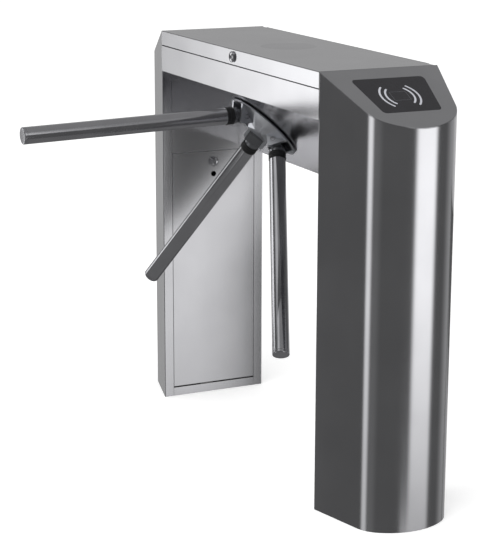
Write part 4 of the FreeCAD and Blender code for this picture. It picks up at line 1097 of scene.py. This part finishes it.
@dataclass
class Arm:
    """One drop arm: forged block, rubber collar, polished tube and end cap."""

    number: int
    azimuth: float
    cone: float = 43.6
    apex: float = 43.8
    tube_r: float = 19.0
    wall: float = 1.5
    collar_start: float = 113.0
    tube_start: float = 131.0
    tube_end: float = 607.0
    end: float = 615.0
    plug_depth: float = 18.0
    plug_play: float = 0.2

    def frame(self) -> Matrix:
        """The arm's own axis, from the apex outwards.

        Returns:
            A matrix in millimetres.
        """
        hub = FaceFrame.matrix(self.azimuth)
        tilt = math.radians(self.cone)
        start = hub @ Vector((0.0, 0.0, -self.apex))
        ahead = hub @ Vector((math.sin(tilt), 0.0, math.cos(tilt) - self.apex))
        return axis_matrix(start, ahead - start)

    def collar(self) -> list[Point]:
        """The collar's section: a sleeve with a groove round its middle.

        Returns:
            Points (radius, height) along the arm.
        """
        inner = self.tube_r - self.wall
        section = [(inner, 0.0), (19.2, 0.0), (20.0, 1.2), (20.0, 7.4), (19.3, 8.0), (19.3, 9.6),
                   (20.0, 10.2), (20.0, 16.6), (19.2, 18.0), (inner, 18.0), (inner, 0.0)]
        return [(r, self.collar_start + z) for r, z in section]

    def tube(self) -> list[Point]:
        """The tube's section.

        Returns:
            Points (radius, height) along the arm.
        """
        a, b, r, inner = self.tube_start, self.tube_end, self.tube_r, self.tube_r - self.wall
        return Workshop.rounded_corners(
            [(inner, a), (r, a), (r, b), (inner, b), (inner, a)], [0, 0.4, 0.4, 0, 0], 3)

    def end_cap(self) -> list[Point]:
        """The end cap's section: a plug in the tube, a fine groove and a rounded end.

        Returns:
            Points (radius, height) along the arm.
        """
        b, r, groove = self.tube_end, self.tube_r, 0.6
        plug, deep = r - self.wall - self.plug_play, b - self.plug_depth
        return Workshop.rounded_corners(
            [(0.0, deep), (plug, deep), (plug, b), (r - groove, b), (r - groove, b + groove), (r, b + groove),
             (r, self.end), (0.0, self.end)], [0, 0.5, 0, 0, 0, 0.2, 3.0, 0], 6)

    def build(self) -> None:
        """Builds the arm's four pieces."""
        body = "arm_%d" % self.number
        # The block's grey is painted darker, as painted shade from the gaps beside it.
        Workshop.refine("arm_block_%d" % self.number, body, "hub_cast", ARM_BLOCK_SHADED, 1.2, 24.0)
        turned = (("collar", "collar", self.collar(), 96, COLLAR_RUBBER),
                  ("tube", "arm_steel", self.tube(), 128, TUBE_STEEL),
                  ("end_cap", "end_cap", self.end_cap(), 128, TURNED_STEEL))
        for kind, slot, profile, segments, finish in turned:
            node = "arm_%s_%d" % (kind, self.number)
            mesh = Workshop.lathe(kind, profile, self.frame(), segments)
            Workshop.place(node + "_finished", mesh, finish, body, slot, [node])


@dataclass
class Mechanism:
    """What stands behind the sloping face: plates, bearings, gears, pawls and solenoids."""

    crank: tuple[float, float] = (40.0, 69.28)
    crank_r: float = 13.0
    spring_span: float = 31.0
    spring_r: float = 4.1
    spring_turns: int = 11
    spring_in: float = 68.0
    wire_r: float = 0.9
    eye_r: float = 3.9
    flange_r: float = 44.0
    flanges_in: tuple[float, float] = (13.5, 124.0)
    pillars_in: float = 118.0
    pillars_u: tuple[float, float] = (-104.0, 104.0)
    pillars_v: tuple[float, float] = (-81.0, 82.0)

    def build(self) -> None:
        """Refines each piece and adds the screws and the wound spring."""
        Workshop.refine_all("cabinet", (
            ("mech_plate", "frame_steel", ZINC_PLATE, 0.5), ("rear_plate", "frame_steel", ZINC_PLATE, 0.5),
            ("plate_spacers", "machine_steel", MACHINED, 0.3),
            ("bearing_housings", "hub_cast", CAST_HUB, 0.5), ("ball_bearings", "bearing", BEARING_STEEL, 0.2),
            ("pivot_pins", "machine_steel", MACHINED, 0.3), ("solenoids", "solenoid_case", COIL_LACQUER, 1.0),
            ("damper_body", "damper_case", CASE_PLASTIC, 1.0)))
        Workshop.refine("centring_crank", "crank", "gear_steel", HOBBED, 0.2, TURNED_DEG)
        Workshop.refine("damper_pinion", "damper", "gear_steel", HOBBED, 0.2, TURNED_DEG)
        for side in ("right", "left"):
            Workshop.refine("locking_pawl_" + side, side + "_pawl", "gear_steel", HOBBED, 0.4)
            Workshop.refine("plunger_" + side, side + "_plunger", "machine_steel", MACHINED, 0.3)
        self.build_screws()
        self.build_spring()

    def build_screws(self) -> None:
        """Cap screws through the bearing housings' flanges and into the pillars."""
        face = FaceFrame.matrix()
        ring = [(self.flange_r * math.cos(a), self.flange_r * math.sin(a))
                for a in map(math.radians, range(30, 390, 60))]
        spots = [(u, v, -depth) for depth in self.flanges_in for u, v in ring]
        spots += [(u, v, -self.pillars_in) for u in self.pillars_u for v in self.pillars_v]
        turn = (face.to_3x3() @ Matrix.Rotation(math.pi, 3, "X")).to_euler()
        mesh = SocketScrews("socket_screws", 4.0, 3.5, MACHINED).run(
            [(face @ Vector(spot)) * MM for spot in spots], turn)
        Workshop.place("mechanism_screws", mesh, None, "cabinet", "screw_steel")

    def build_spring(self) -> None:
        """The wound centring spring with its two hooks."""
        face = FaceFrame.matrix()
        gap = self.eye_r + self.wire_r / 2
        length = self.spring_span - 2 * gap
        coil = CoilSpring(self.spring_turns, self.spring_r, length, self.wire_r, SPRING_WIRE)
        u0, v0 = self.crank[0] + self.crank_r, self.crank[1]
        along = (face.to_3x3() @ Matrix.Rotation(math.pi / 2, 3, "Y")).to_euler()
        meshes = [coil.run([(face @ Vector((u0 + gap, v0, -self.spring_in))) * MM], along)]
        ring = [(self.eye_r + self.wire_r * math.cos(a), self.wire_r * math.sin(a))
                for a in (2 * math.pi * k / 12 for k in range(12))]
        for u in (u0, u0 + self.spring_span):
            place = face @ Matrix.Translation(Vector((u, v0, -self.spring_in)))
            meshes.append(Workshop.lathe("hook", ring + ring[:1], place, 32))
        Workshop.place("centring_spring_wound", Workshop.joined("spring", meshes), SPRING_WIRE, "cabinet",
                       "spring_steel", ["centring_spring"])


@dataclass
class Electronics:
    """The control board and the power supply on the bridge's floor."""

    board_x: float = 260.0
    board_y: float = 96.0
    length: float = 160.0
    width: float = 66.0
    top: float = 675.1
    can_corner: tuple[float, float] = (122.0, 12.0)
    can_pitch: float = 11.0
    screw_corner: tuple[float, float] = (22.0, 57.0)
    screw_pitch: float = 10.0
    screws: int = 13
    terminal_height: float = 12.0

    def build(self) -> None:
        """Refines both and adds the board's small parts."""
        Workshop.refine_all("cabinet", (
            ("control_board", "board", BOARD, 0.3), ("power_supply", "supply_case", SUPPLY_CASE, 0.6)))
        x0, y0 = self.board_x - self.length / 2, self.board_y - self.width / 2
        grid = [(self.can_pitch * i, self.can_pitch * j) for i in range(3) for j in range(2)]
        (can_x, can_y), (screw_x, screw_y) = self.can_corner, self.screw_corner
        cans = [(x0 + can_x + dx, y0 + can_y + dy, self.top) for dx, dy in grid]
        heads = [(x0 + screw_x + self.screw_pitch * i, y0 + screw_y, self.top + self.terminal_height)
                 for i in range(self.screws)]
        for name, studs, spots in (
                ("board_capacitors", Studs("capacitors", 4.0, 11.0, CASE_PLASTIC), cans),
                ("terminal_screws", Studs("terminal_screws", 2.0, 0.6, MACHINED), heads)):
            mesh = studs.run([Vector(spot) * MM for spot in spots])
            Workshop.place(name, mesh, None, "cabinet", "board")


@dataclass(frozen=True)
class SoftBox:
    """A soft light far from the object, by where it stands as seen from there, in degrees."""

    azimuth: float
    half_width: float
    edge: float
    low: float
    low_fade: float
    high: float
    high_fade: float
    strength: float

    def glow(self, tree: Tree, turn: Source, rise: Source) -> Node:
        """The light that a ray meets.

        Args:
            tree: The world's tree.
            turn: The ray's azimuth in radians.
            rise: The ray's elevation in radians.

        Returns:
            The node that gives the strength.
        """
        middle = math.radians(self.azimuth)
        shifted = add_node(tree, "ShaderNodeMath", {0: turn, 1: middle}, operation="SUBTRACT")
        wrapped = add_node(tree, "ShaderNodeMath", {0: shifted, 1: math.pi, 2: -math.pi}, operation="WRAP")
        away = add_node(tree, "ShaderNodeMath", {0: wrapped}, operation="ABSOLUTE")
        across, foot, head = (add_node(tree, "ShaderNodeMapRange", {
            "Value": value, "From Min": math.radians(middle - fade / 2),
            "From Max": math.radians(middle + fade / 2), "To Min": before, "To Max": after},
            interpolation_type="SMOOTHSTEP") for value, middle, fade, before, after in (
                (away, self.half_width, self.edge, self.strength, 0.0),
                (rise, self.low, self.low_fade, 0.0, 1.0),
                (rise, self.high, self.high_fade, 1.0, 0.0)))
        part = add_node(tree, "ShaderNodeMath", {0: across, 1: foot}, operation="MULTIPLY")
        return add_node(tree, "ShaderNodeMath", {0: part, 1: head}, operation="MULTIPLY")


# The photograph's studio as metal sees it: azimuth, half width, edge, low, fade, high, fade, strength.
SOFT_BOXES = tuple(SoftBox(*row) for row in (
    (34.5, 20.0, 10.0, -20.5, 19.0, -6.0, 3.0, 1.43),
    (-92.0, 9.0, 12.0, -24.0, 36.0, 10.0, 30.0, 1.05),
    (-148.5, 8.5, 10.0, -40.0, 30.0, 6.0, 16.0, 1.65),
    (-138.0, 9.0, 8.0, 11.0, 8.0, 28.0, 12.0, 1.5),
    (148.0, 42.0, 30.0, -24.0, 26.0, 42.0, 30.0, 0.27),
    (114.0, 28.0, 20.0, -34.0, 10.0, -3.0, 5.0, 0.22),
    (-70.0, 14.0, 24.0, -30.0, 16.0, 0.0, 10.0, 0.06),
    (180.0, 14.0, 12.0, -30.0, 20.0, -2.0, 6.0, 0.04),
    (-88.0, 28.0, 24.0, 45.0, 14.0, 68.0, 14.0, 0.4),
    (24.0, 22.0, 24.0, 16.0, 10.0, 46.0, 16.0, 0.16),
    (11.0, 8.0, 3.0, 12.0, 8.0, 40.0, 12.0, 0.9),
    (8.0, 8.0, 8.0, -34.0, 6.0, -24.0, 5.0, 1.5),
    (0.0, 190.0, 4.0, -120.0, 10.0, -38.0, 20.0, 0.06),
))


@dataclass
class Studio:
    """Floor, soft light and the camera at the photograph's angle."""

    camera_mm: tuple[float, float, float] = (3568.95, -1749.64, 1411.75)
    azimuth: float = 65.13
    elevation: float = 14.07
    roll: float = 0.17
    lens: float = 113.29
    floor_half: float = 20.0
    floor_z: float = -0.0004
    floor_glow: float = 0.35
    room_glow: tuple[float, float] = (0.11, 0.27)
    room_rise: tuple[float, float] = (30.0, 60.0)
    even_light: float = 0.75
    lamp_at: tuple[float, float, float] = (1.2, -2.0, 3.6)
    lamp_aim: tuple[float, float, float] = (0.0, 0.0, 0.5)
    lamp_size: float = 3.0
    lamp_watts: float = 60.0

    def build(self) -> None:
        """Builds the whole studio."""
        bpy.context.scene.view_settings.view_transform = "Standard"
        self.build_camera()
        self.build_floor()
        self.build_world()
        self.build_lamp()
        self.build_cards()

    def build_camera(self) -> None:
        """The camera that was fitted to the photograph."""
        a, e, r = (math.radians(x) for x in (self.azimuth, self.elevation, self.roll))
        back = Vector((math.sin(a) * math.cos(e), -math.cos(a) * math.cos(e), math.sin(e)))
        right = (-back).cross(Vector((0, 0, 1))).normalized()
        up = right.cross(-back)
        right, up = right * math.cos(r) + up * math.sin(r), up * math.cos(r) - right * math.sin(r)
        data = bpy.data.cameras.new("camera")
        data.lens = self.lens
        data.sensor_width = 36.0
        data.clip_end = 60.0
        camera = new_object("camera", data)
        rotation = Matrix([[right[i], up[i], back[i]] for i in range(3)])
        camera.matrix_world = Matrix.Translation(Vector(self.camera_mm) * MM) @ rotation.to_4x4()
        bpy.context.scene.camera = camera

    def sheet(self, name: str, corners: Iterable[Sequence[float]], paint: str) -> tuple[Object, Tree]:
        """Makes a flat sheet with an empty material.

        Args:
            name: The sheet's name.
            corners: Its corners in metres.
            paint: The material's name.

        Returns:
            The sheet, and its material's tree.
        """
        build = bmesh.new()
        build.faces.new([build.verts.new(corner) for corner in corners])
        mesh = Workshop.mesh_of(build, name)
        material = bpy.data.materials.new(paint)
        mesh.materials.append(material)
        return new_object(name, mesh), blank_tree(material)

    def build_floor(self) -> None:
        """A wide pale floor. Polished metal sees past it, to the studio below."""
        half = self.floor_half
        floor, tree = self.sheet("floor", [(x, y, self.floor_z) for x, y in (
            (-half, -half), (half, -half), (half, half), (-half, half))], "pale_floor")
        path = add_node(tree, "ShaderNodeLightPath")
        matt = add_node(tree, "ShaderNodeBsdfDiffuse", {"Color": linear(WHITE)})
        glow = add_node(tree, "ShaderNodeEmission", {"Color": linear(WHITE), "Strength": self.floor_glow})
        seen = add_node(tree, "ShaderNodeAddShader", {0: matt, 1: glow})
        shown = add_node(tree, "ShaderNodeMixShader", {0: path.outputs["Is Camera Ray"], 1: matt, 2: seen})
        clear = add_node(tree, "ShaderNodeBsdfTransparent")
        both = add_node(tree, "ShaderNodeMixShader", {0: path.outputs["Is Glossy Ray"], 1: shown, 2: clear})
        add_node(tree, "ShaderNodeOutputMaterial", {"Surface": both})

    def build_world(self) -> None:
        """White to the camera, even grey light, and soft boxes that metal reflects."""
        world = bpy.data.worlds.new("studio")
        bpy.context.scene.world = world
        tree = blank_tree(world)
        place = add_node(tree, "ShaderNodeTexCoord")
        split = add_node(tree, "ShaderNodeSeparateXYZ", {0: place.outputs["Generated"]})
        x, y, z = split.outputs
        turn = add_node(tree, "ShaderNodeMath", {0: y, 1: x}, operation="ARCTAN2")
        rise = add_node(tree, "ShaderNodeMath", {0: z}, operation="ARCSINE")
        foot, head = map(math.radians, self.room_rise)
        total = add_node(tree, "ShaderNodeMapRange", {
            "Value": rise, "From Min": foot, "From Max": head, "To Min": self.room_glow[0],
            "To Max": self.room_glow[1]}, interpolation_type="SMOOTHSTEP")
        for box in SOFT_BOXES:
            part = box.glow(tree, turn, rise)
            total = add_node(tree, "ShaderNodeMath", {0: total, 1: part}, operation="ADD")
        path = add_node(tree, "ShaderNodeLightPath")
        boxes, plain, white = (
            add_node(tree, "ShaderNodeBackground", {"Color": linear(WHITE), "Strength": strength})
            for strength in (total, self.even_light, 1.0))
        lit = add_node(tree, "ShaderNodeMixShader", {0: path.outputs["Is Glossy Ray"], 1: plain, 2: boxes})
        shown = add_node(tree, "ShaderNodeMixShader", {0: path.outputs["Is Camera Ray"], 1: lit, 2: white})
        add_node(tree, "ShaderNodeOutputWorld", {"Surface": shown})

    def build_lamp(self) -> None:
        """One wide soft lamp over the arm side, for the shadows on the floor."""
        data = bpy.data.lights.new("soft_lamp", "AREA")
        data.size = self.lamp_size
        data.energy = self.lamp_watts
        lamp = new_object("soft_lamp", data)
        lamp.location = self.lamp_at
        way = Vector(self.lamp_aim) - Vector(self.lamp_at)
        lamp.rotation_euler = way.to_track_quat("-Z", "Y").to_euler()
        lamp.visible_glossy = False

    def build_cards(self) -> None:
        """Hangs two dark cards and a net beside the object, which only reflections see."""
        raised = ((-0.56, 0.5), (-0.15, 0.5), (-0.15, 0.78), (-0.28, 0.84), (-0.56, 0.84))
        self.hang("card_by_raised_arm", [(0.33, y, z) for y, z in raised])
        front = ((-0.8, -1.0), (-0.06, -1.0), (-0.06, 0.55), (-0.8, 0.55))
        self.hang("card_in_front", [(x, -0.8, z) for x, z in front], glow=0.17)
        behind = ((0.2, -0.5), (0.66, -0.5), (0.66, 0.64), (0.2, 0.64))
        self.hang("net_behind", [(0.5, y, z) for y, z in behind], share=self.net_share)

    def hang(self, name: str, corners: Iterable[Sequence[float]], glow: float = 0.11,
             share: Optional[Callable[[Tree], Source]] = None) -> None:
        """Hangs one card.

        Args:
            name: The card's name.
            corners: Its corners in metres.
            glow: The brightness that metal sees in it.
            share: Builds the part of the light that it holds back; a full card needs none.
        """
        card, tree = self.sheet(name, corners, name)
        shown = add_node(tree, "ShaderNodeEmission", {"Color": linear(WHITE), "Strength": glow})
        if share is not None:
            clear = add_node(tree, "ShaderNodeBsdfTransparent")
            shown = add_node(tree, "ShaderNodeMixShader", {0: share(tree), 1: clear, 2: shown})
        add_node(tree, "ShaderNodeOutputMaterial", {"Surface": shown})
        for kind in ("camera", "diffuse", "transmission", "shadow"):
            setattr(card, "visible_" + kind, False)

    def net_share(self, tree: Tree) -> Source:
        """The net's share: all above a slanting edge, less below it, and more towards its sides.

        Args:
            tree: The net's material tree.

        Returns:
            The node that gives the share.
        """
        place = add_node(tree, "ShaderNodeTexCoord")
        split = add_node(tree, "ShaderNodeSeparateXYZ", {0: place.outputs["Object"]})
        across, rise = split.outputs[1], split.outputs[2]
        # Each row fades from 0 where its value is the second number to the fourth where it is the third.
        edge = add_node(tree, "ShaderNodeMath", {0: across, 1: -0.86, 2: rise}, operation="MULTIPLY_ADD")
        above, slope, depth, *sides = (add_node(tree, "ShaderNodeMapRange", {
            "Value": value, "From Min": start, "From Max": stop, "To Min": 0.0, "To Max": top},
            interpolation_type=kind) for value, start, stop, top, kind in (
                (edge, -0.045, 0.06, 1.0, "SMOOTHSTEP"), (across, 0.351, 0.6, 0.42, "LINEAR"),
                (rise, 0.411, 0.078, 1.0, "LINEAR"), (across, 0.51, 0.56, 0.3, "SMOOTHSTEP"),
                (across, 0.268, 0.228, 0.08, "SMOOTHSTEP")))
        dim = add_node(tree, "ShaderNodeMath", {0: slope, 1: depth, 2: 0.3}, operation="MULTIPLY_ADD")
        for side in sides:
            dim = add_node(tree, "ShaderNodeMath", {0: dim, 1: side}, operation="ADD")
        return add_node(tree, "ShaderNodeMath", {0: dim, 1: above}, operation="MAXIMUM")


def main() -> None:
    """Builds the studio and the turnstile, piece by piece."""
    logging.basicConfig(level=logging.INFO, format="%(message)s")
    Studio().build()
    Cabinet().build()
    Doors().build()
    Bridge().build()
    Rotor().build()
    for number, azimuth in enumerate((89.0, 209.0, 329.0), start=1):
        Arm(number, azimuth).build()
    Mechanism().build()
    Electronics().build()
    LOG.info("%d pieces", Workshop.pieces)


if __name__ == "__main__":
    main()
